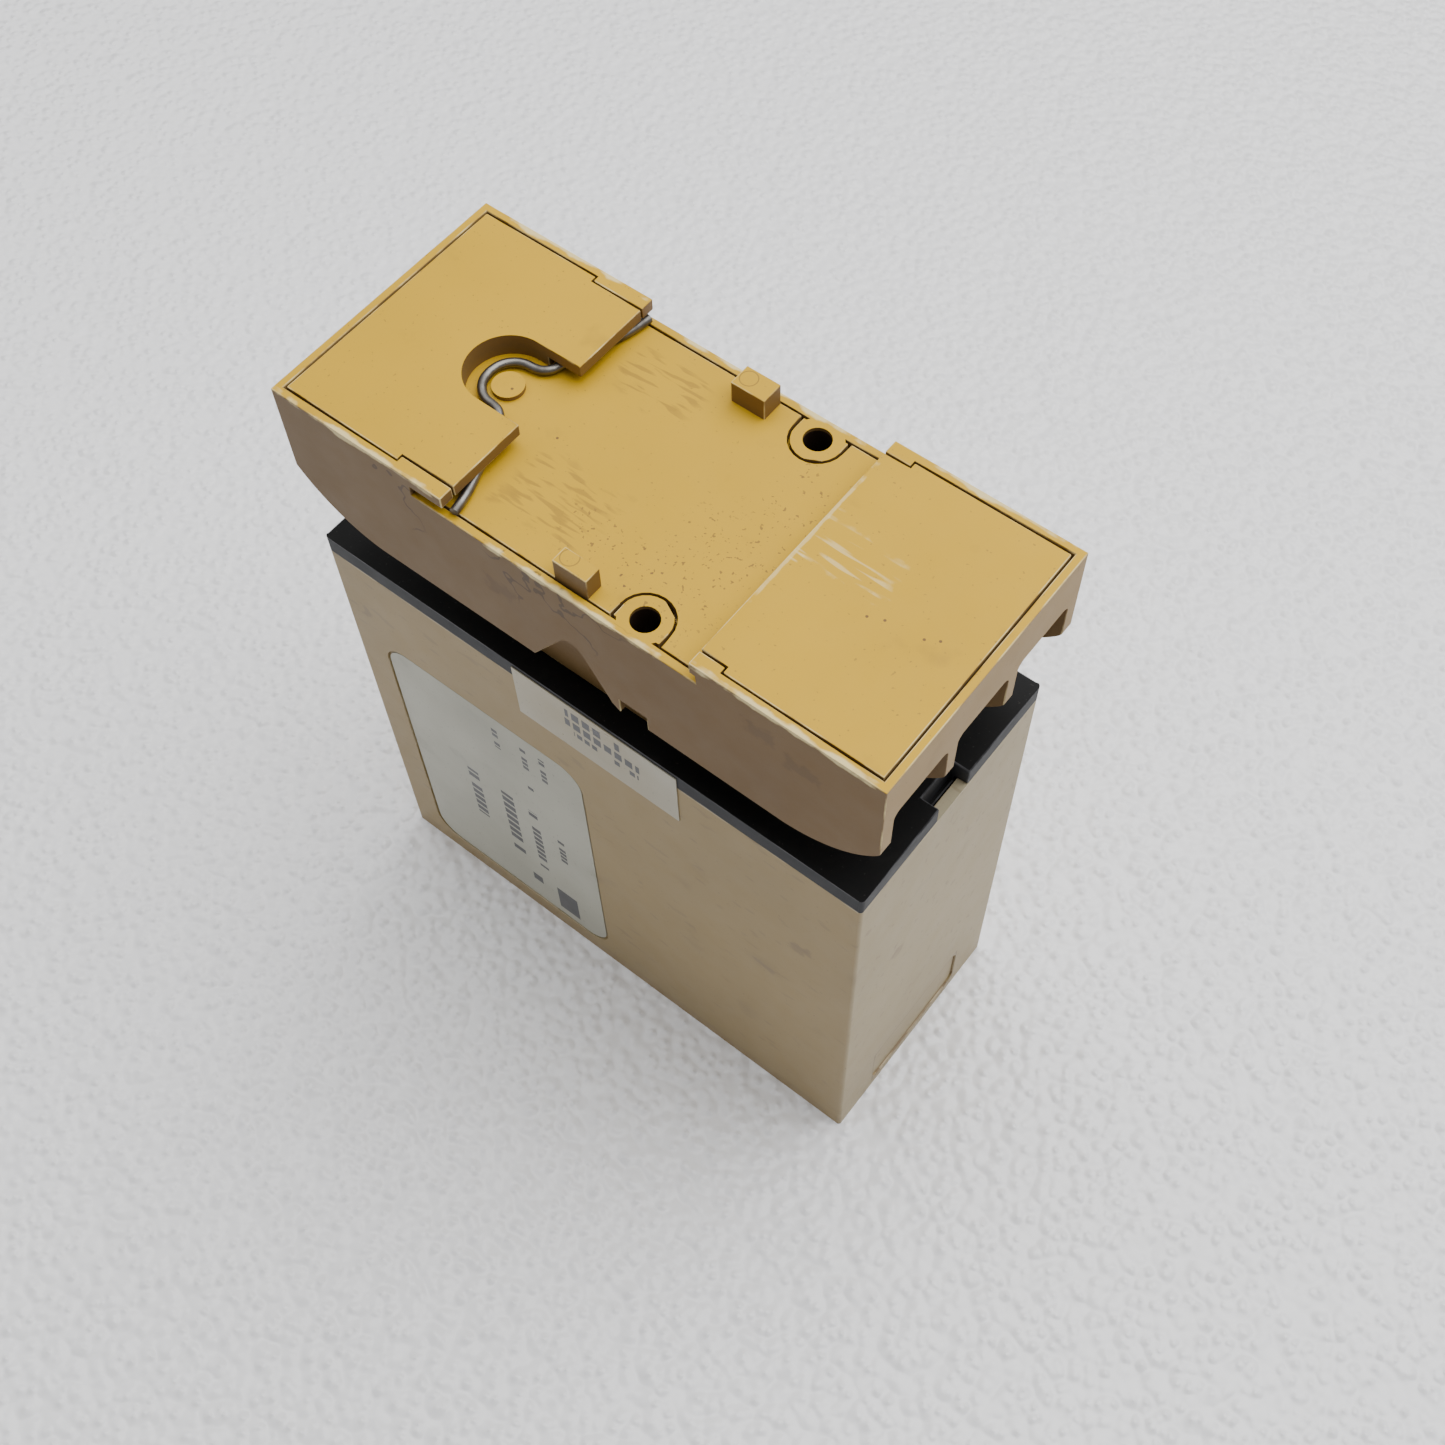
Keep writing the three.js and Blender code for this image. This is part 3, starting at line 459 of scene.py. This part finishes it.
def metal_group():
    """Worked metal: fine marks along the way it was drawn, turned or rolled, and dull patches."""
    tree, ins, outs = shared(
        "worked_metal",
        [("Colour", "NodeSocketColor", (1, 1, 1, 1)), ("Dull Colour", "NodeSocketColor", (1, 1, 1, 1)),
         ("Across", "NodeSocketVector", (2000, 2000, 80)), ("Gloss", "NodeSocketFloat", 0.3)],
        [("Colour", "NodeSocketColor"), ("Roughness", "NodeSocketFloat"), ("Height", "NodeSocketFloat")])
    where = tree.nodes.new("ShaderNodeTexCoord")
    mapping = tree.nodes.new("ShaderNodeMapping")
    tree.links.new(where.outputs["Object"], mapping.inputs["Vector"])
    tree.links.new(ins.outputs["Across"], mapping.inputs["Scale"])
    marks = cloud(tree, mapping.outputs["Vector"], 1.0, 2)
    dull = ramp(tree, cloud(tree, where.outputs["Object"], 320, 4), 0.42, 0.66)
    colour = blended(tree, dull, ins.outputs["Colour"], ins.outputs["Dull Colour"])
    tree.links.new(colour, outs.inputs["Colour"])
    rough = sum_up(tree, "ADD", ins.outputs["Gloss"], sum_up(tree, "MULTIPLY", dull, 0.22))
    tree.links.new(rough, outs.inputs["Roughness"])
    tree.links.new(marks, outs.inputs["Height"])
    return tree


METAL = metal_group()


def metal(name, colour, dull, gloss, across=(2000, 2000, 80)):
    material, nodes, links, shader = painted(name)
    base = group_node(material.node_tree, METAL, Colour=colour, Dull_Colour=dull, Gloss=gloss,
                      Across=across)
    shader.inputs["Metallic"].default_value = 1.0
    links.new(base.outputs["Colour"], shader.inputs["Base Color"])
    links.new(base.outputs["Roughness"], shader.inputs["Roughness"])
    relief = nodes.new("ShaderNodeBump")
    relief.inputs["Strength"].default_value = 0.2
    relief.inputs["Distance"].default_value = 0.02 * MM
    links.new(base.outputs["Height"], relief.inputs["Height"])
    links.new(relief.outputs["Normal"], shader.inputs["Normal"])
    return material


brass = metal("plated_brass", (0.66, 0.46, 0.16, 1), (0.42, 0.27, 0.10, 1), 0.24)


def turned(profile, centre, steps):
    """A solid turned from (radius, height) points that start and end on its axis."""
    bm = bmesh.new()
    points = [bm.verts.new((radius, 0, height)) for radius, height in profile]
    outline = [bm.edges.new(pair) for pair in zip(points, points[1:])]
    bmesh.ops.spin(bm, geom=points + outline, cent=(0, 0, 0), axis=(0, 0, 1), angle=2 * pi,
                   steps=steps, use_merge=True, use_duplicate=False)
    bmesh.ops.remove_doubles(bm, verts=bm.verts, dist=0.0005 * MM)
    bmesh.ops.recalc_face_normals(bm, faces=bm.faces)
    bmesh.ops.translate(bm, verts=bm.verts, vec=centre)
    return bm


def round_end(radius, rise, tip):
    """Points of a round end, from its tip on the axis out to its full radius."""
    angles = [pi / 2 / ROUND_STEPS * step for step in range(ROUND_STEPS + 1)]
    return [(radius * sin(angle), tip + rise * (1 - cos(angle))) for angle in angles]


for number in range(1, PINS + 1):
    low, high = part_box(f"plug_pin_{number}")
    nose = round_end(PIN_RADIUS, -PIN_RADIUS, high.z)
    flange_top = low.z + PIN_BURIED
    flange_foot = flange_top - FLANGE_DEPTH
    stem = [(PIN_RADIUS, flange_top), (PIN_FLANGE, flange_top), (PIN_FLANGE, flange_foot),
            (TAIL_RADIUS, flange_foot), (TAIL_RADIUS, low.z), (0, low.z)]
    axis_point = Vector(((low.x + high.x) / 2, (low.y + high.y) / 2, 0))
    pin = kept(turned(nose + stem, axis_point, PIN_FACETS), f"turned_pin_{number}")
    pin.data.materials.append(brass)
    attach(pin, "root")
    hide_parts(f"plug_pin_{number}")

# Inside the case: the boards, the switch and its heat spreader, the coupler, the capacitor and the
# lamp. They sit out of sight behind the cover and keep their plain shapes.
resin = plastic("board_resin", *[(0.07, 0.15, 0.04)] * 3, (0.02, 0.03, 0.01, 1),
                (0.30, 0.34, 0.22, 1), (0.2, 0.0), (0.35, 0.50))
package = plastic("black_resin", *[(0.014, 0.014, 0.016)] * 3, (0.06, 0.06, 0.06, 1),
                  (0.20, 0.20, 0.20, 1), (0.2, 0.0), (0.38, 0.55))
film_case = plastic("blue_film", *[(0.03, 0.12, 0.30)] * 3, (0.01, 0.03, 0.08, 1),
                    (0.30, 0.36, 0.45, 1), (0.2, 0.0), (0.22, 0.35))
lens = plastic("red_lens", *[(0.40, 0.012, 0.012)] * 3, (0.10, 0.01, 0.01, 1),
               (0.55, 0.2, 0.2, 1), (0.1, 0.0), (0.12, 0.22))
aluminium = metal("bare_aluminium", (0.62, 0.63, 0.65, 1), (0.45, 0.46, 0.48, 1), 0.30, (80, 2000, 2000))
INSIDE = {
    "pin_board": resin, "circuit_board": resin, "heat_spreader": aluminium, "power_switch": package,
    "optocoupler": package, "snubber_capacitor": film_case, "indicator_lamp": lens,
}
for node, material in INSIDE.items():
    cad[node].data.materials.clear()
    cad[node].data.materials.append(material)

# Rating label: a yellowed plastic film stuck in the cover's sunk field. Its print is made of plain
# rows of blocks that run up the label, with two solid ones near its foot and no lettering.
LABEL_INK = (0.045, 0.045, 0.050, 1)
INKED_SHARE = 0.72
BLANK_SHARE = 0.22
LABEL_EDGE = 0.04 * MM
SHORTEST_FILM_EDGE = 0.3 * MM


def print_group():
    """One printed row of blocks inside a rectangle, given by its middle and its half size."""
    tree, ins, outs = shared(
        "printed_row",
        [("Along", "NodeSocketFloat", 0), ("Across", "NodeSocketFloat", 0),
         ("Middle Along", "NodeSocketFloat", 0), ("Middle Across", "NodeSocketFloat", 0),
         ("Half Along", "NodeSocketFloat", 0), ("Half Across", "NodeSocketFloat", 0),
         ("Blocks", "NodeSocketFloat", 700.0)],
        [("Mask", "NodeSocketFloat")])
    inside = []
    for way in ("Along", "Across"):
        offset = sum_up(tree, "SUBTRACT", ins.outputs[way], ins.outputs["Middle " + way])
        distance = sum_up(tree, "ABSOLUTE", offset, 0.0)
        inside.append(sum_up(tree, "LESS_THAN", distance, ins.outputs["Half " + way]))
    window = sum_up(tree, "MULTIPLY", inside[0], inside[1])
    count = sum_up(tree, "MULTIPLY", ins.outputs["Along"], ins.outputs["Blocks"])
    gap = sum_up(tree, "LESS_THAN", sum_up(tree, "FRACT", count, 0.0), INKED_SHARE)
    chance = tree.nodes.new("ShaderNodeTexWhiteNoise")
    chance.noise_dimensions = "2D"
    cell = tree.nodes.new("ShaderNodeCombineXYZ")
    tree.links.new(sum_up(tree, "FLOOR", count, 0.0), cell.inputs[0])
    tree.links.new(ins.outputs["Middle Across"], cell.inputs[1])
    tree.links.new(cell.outputs[0], chance.inputs["Vector"])
    filled = sum_up(tree, "GREATER_THAN", chance.outputs["Value"], BLANK_SHARE)
    inked = sum_up(tree, "MULTIPLY", sum_up(tree, "MULTIPLY", window, gap), filled)
    tree.links.new(inked, outs.inputs["Mask"])
    return tree


PRINTED = print_group()
# Each row: where up the label it starts and ends, its middle, its half width, its blocks per metre
LABEL_ROWS = [
    (20, 33, 16.7, 1.0, 620), (15, 33, 22.9, 1.1, 560), (16, 33, 27.5, 0.8, 700),
    (37.5, 51, 28.3, 0.5, 900), (43.6, 51.5, 31.5, 0.5, 900), (46, 51, 23.5, 0.5, 900),
    (22.5, 30, 32.1, 0.6, 900), (5.8, 12, 31.1, 1.9, 1), (9.4, 11.4, 25.5, 0.9, 1),
]


def printed(tree, rows, along, across, start_across, base):
    """base colour with the rows of print laid over it."""
    split = tree.nodes.new("ShaderNodeSeparateXYZ")
    tree.links.new(position(tree), split.inputs[0])
    mask = None
    for first, last, centre, half, blocks in rows:
        row = group_node(tree, PRINTED, Middle_Along=(first + last) / 2 * MM,
                         Half_Along=(last - first) / 2 * MM, Middle_Across=start_across + centre * MM,
                         Half_Across=half * MM, Blocks=blocks)
        tree.links.new(split.outputs[along], row.inputs["Along"])
        tree.links.new(split.outputs[across], row.inputs["Across"])
        mask = row.outputs["Mask"] if mask is None else sum_up(tree, "MAXIMUM", mask, row.outputs["Mask"])
    return blended(tree, mask, base, LABEL_INK)


def film(name, colours, dirt, gloss, rows, along, across, start_across, metallic=0.0):
    material, nodes, links, shader = painted(name)
    tree = material.node_tree
    base = group_node(tree, MOULDING, Colour=colours[0], Other_Colour=colours[1], Dirt_Colour=dirt,
                      Dirt=0.6, Low_Roughness=gloss[0], High_Roughness=gloss[1])
    shader.inputs["Metallic"].default_value = metallic
    inked = printed(tree, rows, along, across, start_across, base.outputs["Colour"])
    links.new(inked, shader.inputs["Base Color"])
    links.new(base.outputs["Roughness"], shader.inputs["Roughness"])
    relief = nodes.new("ShaderNodeBump")
    relief.inputs["Strength"].default_value = 0.3
    relief.inputs["Distance"].default_value = 0.05 * MM
    links.new(cloud(tree, position(tree), 260, 3), relief.inputs["Height"])
    links.new(relief.outputs["Normal"], shader.inputs["Normal"])
    return material


case_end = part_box("relay_cover")[0].x
label_film = film("printed_film", ((0.46, 0.45, 0.36, 1), (0.34, 0.33, 0.25, 1)), (0.22, 0.20, 0.14, 1),
                  (0.30, 0.48), LABEL_ROWS, 2, 0, case_end)
label = softened("rating_label", "label_film", LABEL_EDGE, SHORTEST_FILM_EDGE)
label.data.materials.append(label_film)
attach(label, "root")
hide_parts("rating_label")

# Joint seal: a silvered film over the joint of cover and base plate, with three rows of plain
# blocks along it.
SEAL_EDGE = 0.03 * MM
SEAL_ROWS = [(-2.6, 5.6, 70.2, 0.8, 620), (-2.8, 8.4, 68.1, 0.75, 640), (-1.6, 8.2, 66.2, 0.5, 880)]
seal_film = film("silver_film", ((0.36, 0.31, 0.20, 1), (0.46, 0.44, 0.36, 1)), (0.16, 0.14, 0.10, 1),
                 (0.22, 0.40), SEAL_ROWS, 0, 2, 0.0, 0.25)
seal = softened("joint_seal", "seal_film", SEAL_EDGE, SHORTEST_FILM_EDGE)
seal.data.materials.append(seal_film)
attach(seal, "root")
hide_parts("joint_seal")

# Socket housing: one ochre moulding with two side walls, ribs between the wire bays, the block that
# takes the plug, and small hooks along its back edge. Its walls are painted darker, partly a browner
# discolouring of their own and partly painted shade; the long near wall is crazed, and its edges are
# chipped pale. The rear cover is the same plastic.
HOUSING_EDGE = 0.13 * MM
SEAT_HEIGHT = 96.45
BACK_HEIGHT = 99.45
WALL_FACE = 17.53
PALE_OCHRE = (0.76, 0.62, 0.30, 1)
DARK_OCHRE = (0.16, 0.085, 0.022, 1)
HOLE_SHADE_COLOUR = (0.020, 0.010, 0.005, 1)
CRACK_COLOUR = (0.045, 0.025, 0.012, 1)
# The rail's feet have dragged along the seat beside the left pad
DRAGS = [((-8, -8.5, SEAT_HEIGHT), (8, 6, 1)), ((-9, 10.5, SEAT_HEIGHT), (7, 5, 1))]
# Grit has pitted the seat before the right pad, and left a few dark dots about the back
PITTED = [((10, -6, SEAT_HEIGHT), (9, 12, 1)), ((0, -10, SEAT_HEIGHT), (9, 5, 1)),
          ((13, 7, SEAT_HEIGHT), (5, 7, 1))]
DOTS = [(27.7, -2.4), (29.4, -1.7), (33.8, -1.2), (35.2, -0.4), (-13.5, -2.2), (-21.6, -0.3)]
DOT_RADIUS = 0.17
# A clip has scraped the right pad pale near its edge, and rubbed the edge itself
SCRAPED = [((22.5, 2.2, BACK_HEIGHT), (7, 4, 1), 420), ((17.4, 2, BACK_HEIGHT), (1.3, 6, 1), 600)]
RUBBED_EDGE = ((17.1, 2.4, BACK_HEIGHT), (0.5, 13, 1))
# Cracks in the near wall, and blotches on both
CRACKED = [((-1, -WALL_FACE, 95), (14, 1, 8)), ((-25, -WALL_FACE, 95), (6, 1, 7))]
BLOTCHES = [(31, -WALL_FACE, 93), (-9.4, -WALL_FACE, 89), (26, -WALL_FACE, 95), (-20, WALL_FACE, 92)]
BLOTCH_HALF = (4, 1.5, 2.4)
# Chips along the top of both long walls, beside each pad and the seat: middle, half length, height
CHIPPED = [(-28.5, 13.5, BACK_HEIGHT), (0.5, 17.5, SEAT_HEIGHT), (29.5, 12.5, BACK_HEIGHT)]
CHIP_OVERLAP = 8
CHIP_HALF = 1.1
# Round marks left by the mould's ejectors on the two nubs, and the two fixing holes, which no light
# reaches below their mouths
EJECTORS = [(-0.5, -14.9), (-0.5, 14.9)]
EJECTOR_RADIUS = 1.05
EJECTOR_LINE = 0.07
HOLES = [(9, -14.65), (9, 14.65)]
HOLE_REACH = 1.75
HOLE_SHADE_DEPTH = 0.5


def ring_group():
    """A ring round an upright axis, given by its place, its radius and the width of its line."""
    tree, ins, outs = shared(
        "ring",
        [("Place", "NodeSocketVector", (0, 0, 0)), ("Radius", "NodeSocketFloat", 0.001),
         ("Width", "NodeSocketFloat", 0.0001)],
        [("Mask", "NodeSocketFloat")])
    spot = position(tree, (1, 1, 0))
    away = tree.nodes.new("ShaderNodeVectorMath")
    away.operation = "DISTANCE"
    tree.links.new(spot, away.inputs[0])
    tree.links.new(ins.outputs["Place"], away.inputs[1])
    beside = sum_up(tree, "SUBTRACT", away.outputs["Value"], ins.outputs["Radius"])
    near_line = sum_up(tree, "LESS_THAN", sum_up(tree, "ABSOLUTE", beside, 0.0), ins.outputs["Width"])
    tree.links.new(near_line, outs.inputs["Mask"])
    return tree


def hairline_group():
    """Thin crooked cracks, drawn where a slow noise crosses its middle value."""
    tree, ins, outs = shared(
        "hairlines", [("Scale", "NodeSocketFloat", 60.0), ("Width", "NodeSocketFloat", 0.004)],
        [("Mask", "NodeSocketFloat")])
    crossing = sum_up(tree, "SUBTRACT", cloud(tree, position(tree), ins.outputs["Scale"], 4), 0.5)
    line = sum_up(tree, "LESS_THAN", sum_up(tree, "ABSOLUTE", crossing, 0.0), ins.outputs["Width"])
    tree.links.new(line, outs.inputs["Mask"])
    return tree


RING = ring_group()
HAIRLINES = hairline_group()


def ring(tree, spot, radius, width):
    node = group_node(tree, RING, Place=(spot[0] * MM, spot[1] * MM, 0), Radius=radius * MM,
                      Width=width * MM)
    return node.outputs["Mask"]


def height_of(tree):
    split = tree.nodes.new("ShaderNodeSeparateXYZ")
    tree.links.new(position(tree), split.inputs[0])
    return split.outputs[2]


def ochre_marks(tree):
    """What use has left on the socket's back and walls, and the painted shade inside its two fixing holes.
    Later marks lie over earlier ones.
    """
    marks = []
    drags = strokes(tree, (260, 1500, 600), 0.53)
    for middle, half in DRAGS:
        marks.append((both(tree, zone(tree, middle, half, 260, 0.9), drags, 0.42), DARK_OCHRE))
    grit = sum_up(tree, "GREATER_THAN", cloud(tree, position(tree), 2100, 1), 0.685)
    for middle, half in PITTED:
        marks.append((both(tree, zone(tree, middle, half, 160, 0.9), grit, 0.75), DARK_OCHRE))
    for dot in DOTS:
        marks.append((ring(tree, dot, 0.0, DOT_RADIUS), DARK_OCHRE))
    scrapes = strokes(tree, (120, 1300, 600), 0.57, (0, 0, -0.12))
    for middle, half, grain in SCRAPED:
        marks.append((both(tree, zone(tree, middle, half, grain), scrapes, 0.5), PALE_OCHRE))
    marks.append((faint(tree, zone(tree, *RUBBED_EDGE, 700, 0.9), 0.5), PALE_OCHRE))
    for middle, half in CRACKED:
        cracks = group_node(tree, HAIRLINES, Scale=60.0, Width=0.0042).outputs["Mask"]
        marks.append((both(tree, zone(tree, middle, half, 120, 0.9), cracks, 0.62), CRACK_COLOUR))
    for middle in BLOTCHES:
        marks.append((faint(tree, zone(tree, middle, BLOTCH_HALF, 800, 1.3), 0.22), CRACK_COLOUR))
    for side in (-1, 1):
        for middle, half, height in CHIPPED:
            spread = (half + CHIP_OVERLAP, CHIP_HALF, CHIP_HALF)
            chips = zone(tree, (middle, side * WALL_FACE, height), spread, 330, 1.5)
            marks.append((faint(tree, chips, 0.85), PALE_OCHRE))
    for spot in EJECTORS:
        marks.append((faint(tree, ring(tree, spot, EJECTOR_RADIUS, EJECTOR_LINE), 0.6), DARK_OCHRE))
    # Painted shade: the fixing holes are painted near black below their mouths.
    deep = sum_up(tree, "LESS_THAN", height_of(tree), (SEAT_HEIGHT - HOLE_SHADE_DEPTH) * MM)
    for spot in HOLES:
        marks.append((both(tree, ring(tree, spot, 0.0, HOLE_REACH), deep), HOLE_SHADE_COLOUR))
    return marks


# The ochre is painted much darker on walls, partly a browner discolouring of its own and partly painted
# shade, and the ends between the two as painted light.
ochre = plastic("ochre_plastic", (0.575, 0.335, 0.004), (0.180, 0.104, 0.034), (0.33, 0.215, 0.085),
                (0.15, 0.08, 0.025, 1), PALE_OCHRE, (0.45, 0.7), (0.48, 0.64), ochre_marks, sheen=0.32)
housing = softened("socket_housing", "socket_shell", HOUSING_EDGE)
housing.data.materials.append(ochre)
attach(housing, "socket")
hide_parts("socket_housing")

# Rear cover of the socket: an ochre plate let into the housing, with two raised pads, the seat
# for the rail between them, two nubs, and a window over the spring. The rail has scuffed its seat.
REAR_EDGE = 0.12 * MM
rear = softened("rear_cover", "socket_back", REAR_EDGE)
rear.data.materials.append(ochre)
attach(rear, "socket")
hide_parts("rear_cover")

# Rail spring: one length of drawn steel wire, bent round the post and out under both hooks. It is
# made in two halves, each the loop and one of the arms.
WIRE_RADIUS = 0.55 * MM
WIRE_SIDES = 16
wire_height = sum(corner.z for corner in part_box("rail_spring_loop")) / 2
LOOP = [(-25.15, 0), (-24.9, -1.3), (-24.1, -2.45), (-22.9, -3.15), (-21.6, -3.35), (-20.9, -3.5)]
NEAR_ARM = [(-20.6, -3.65), (-19.9, -4.3), (-19.35, -5.4),
            (-16.15, -13.1), (-15.65, -14.8), (-15.25, -16.7)]
FAR_ARM = [(-20.6, -3.65), (-19.9, -4.3), (-19.45, -5.4),
           (-16.75, -13.1), (-16.35, -14.8), (-16.05, -16.7)]
steel_wire = metal("spring_steel", (0.21, 0.20, 0.185, 1), (0.09, 0.08, 0.068, 1), 0.38, (1500, 1500, 1500))
for side, arm, body, nodes_replaced in (
    (1, NEAR_ARM, "spring_arm_near", ("rail_spring_loop", "rail_spring_arm_near")),
    (-1, FAR_ARM, "spring_arm_far", ("rail_spring_arm_far",)),
):
    bends = LOOP + arm
    curve = bpy.data.curves.new("spring_line", "CURVE")
    curve.dimensions = "3D"
    curve.bevel_depth = WIRE_RADIUS
    curve.bevel_resolution = WIRE_SIDES // 4
    curve.use_fill_caps = True
    line = curve.splines.new("BEZIER")
    line.resolution_u = 10
    line.bezier_points.add(len(bends) - 1)
    for point, (x, y) in zip(line.bezier_points, bends):
        point.co = (x * MM, side * y * MM, wire_height)
        point.handle_left_type = point.handle_right_type = "AUTO"
    holder = bpy.data.objects.new("spring_line", curve)
    bpy.context.scene.collection.objects.link(holder)
    bpy.context.view_layer.update()
    wire_mesh = bpy.data.meshes.new_from_object(holder.evaluated_get(bpy.context.evaluated_depsgraph_get()))
    bpy.data.objects.remove(holder)
    bm = bmesh.new()
    bm.from_mesh(wire_mesh)
    bmesh.ops.remove_doubles(bm, verts=bm.verts, dist=0.001 * MM)
    bmesh.ops.recalc_face_normals(bm, faces=bm.faces)
    half = kept(bm, f"spring_wire_{'near' if side > 0 else 'far'}")
    half.data.materials.clear()
    half.data.materials.append(steel_wire)
    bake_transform(half)
    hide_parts(*nodes_replaced)

# Contacts: pressed brass, each a sleeve for a pin, a strip and a threaded plate under its terminal.
# They are seen only at the mouths of the bays.
for number in range(1, PINS + 1):
    contact = cad[f"contact_{number}"]
    contact.data.materials.clear()
    contact.data.materials.append(brass)

# Wire clamps and terminal screws: zinc-plated steel. A screw is a pan head with a straight slot, and
# the clamp under it is a pressed plate with two edges turned up.
zinc = metal("plated_steel", (0.60, 0.61, 0.62, 1), (0.40, 0.40, 0.38, 1), 0.26, (1200, 1200, 1200))
HEAD_RADIUS = 3.1 * MM
HEAD_DOME = 1.0 * MM
HEAD_DEPTH = 2.3 * MM
SHANK_RADIUS = 1.65 * MM
TIP_DEPTH = 0.45 * MM
TIP_INSET = 0.4 * MM
SCREW_FACETS = 36
CLAMP_EDGE = 0.10 * MM
SHORTEST_CLAMP_EDGE = 0.6 * MM
SLOT_HALF = 0.45 * MM
SLOT_DEPTH = 1.1 * MM


def slotted(bm, centre, bottom):
    """Cuts the straight slot across the underside of a screw head and closes it again."""
    floor_height = bottom + SLOT_DEPTH
    for point, way in (((centre.x, centre.y + SLOT_HALF, 0), (0, 1, 0)),
                       ((centre.x, centre.y - SLOT_HALF, 0), (0, 1, 0)),
                       ((centre.x, centre.y, floor_height), (0, 0, 1))):
        bmesh.ops.bisect_plane(bm, geom=bm.verts[:] + bm.edges[:] + bm.faces[:], dist=1e-8,
                               plane_co=point, plane_no=way)
    gone = [face for face in bm.faces
            if abs(face.calc_center_median().y - centre.y) < SLOT_HALF
            and face.calc_center_median().z < floor_height]
    bmesh.ops.delete(bm, geom=gone, context="FACES")
    rim = [edge for edge in bm.edges if edge.is_boundary]
    floor_edges = [e for e in rim if all(abs(v.co.z - floor_height) < 1e-7 for v in e.verts)]
    for side in (1, -1):
        wall_y = centre.y + side * SLOT_HALF
        wall = [e for e in rim if all(abs(v.co.y - wall_y) < 1e-7 for v in e.verts)]
        ends = sorted((v for e in wall for v in e.verts if abs(v.co.z - floor_height) < 1e-7),
                      key=lambda v: v.co.x)
        across = bm.edges.new((ends[0], ends[-1]))
        bmesh.ops.contextual_create(bm, geom=wall + [across])
        floor_edges.append(across)
    bmesh.ops.contextual_create(bm, geom=floor_edges)
    bmesh.ops.recalc_face_normals(bm, faces=bm.faces)


for number in range(1, PINS + 1):
    low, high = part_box(f"terminal_screw_{number}")
    axis_point = Vector(((low.x + high.x) / 2, (low.y + high.y) / 2, 0))
    dome = round_end(HEAD_RADIUS, HEAD_DOME, low.z)
    head_back = low.z + HEAD_DEPTH
    shank = [(HEAD_RADIUS, head_back), (SHANK_RADIUS, head_back), (SHANK_RADIUS, high.z - TIP_DEPTH),
             (SHANK_RADIUS - TIP_INSET, high.z), (0, high.z)]
    bm = turned(dome + shank, axis_point, SCREW_FACETS)
    slotted(bm, axis_point, low.z)
    screw = kept(bm, f"pan_screw_{number}")
    screw.data.materials.append(zinc)
    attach(screw, f"screw_{number}")
    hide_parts(f"terminal_screw_{number}")
    clamp = softened(f"wire_clamp_{number}", f"pressed_clamp_{number}", CLAMP_EDGE,
                     SHORTEST_CLAMP_EDGE)
    clamp.data.materials.append(zinc)
    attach(clamp, f"clamp_{number}")
    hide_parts(f"wire_clamp_{number}")
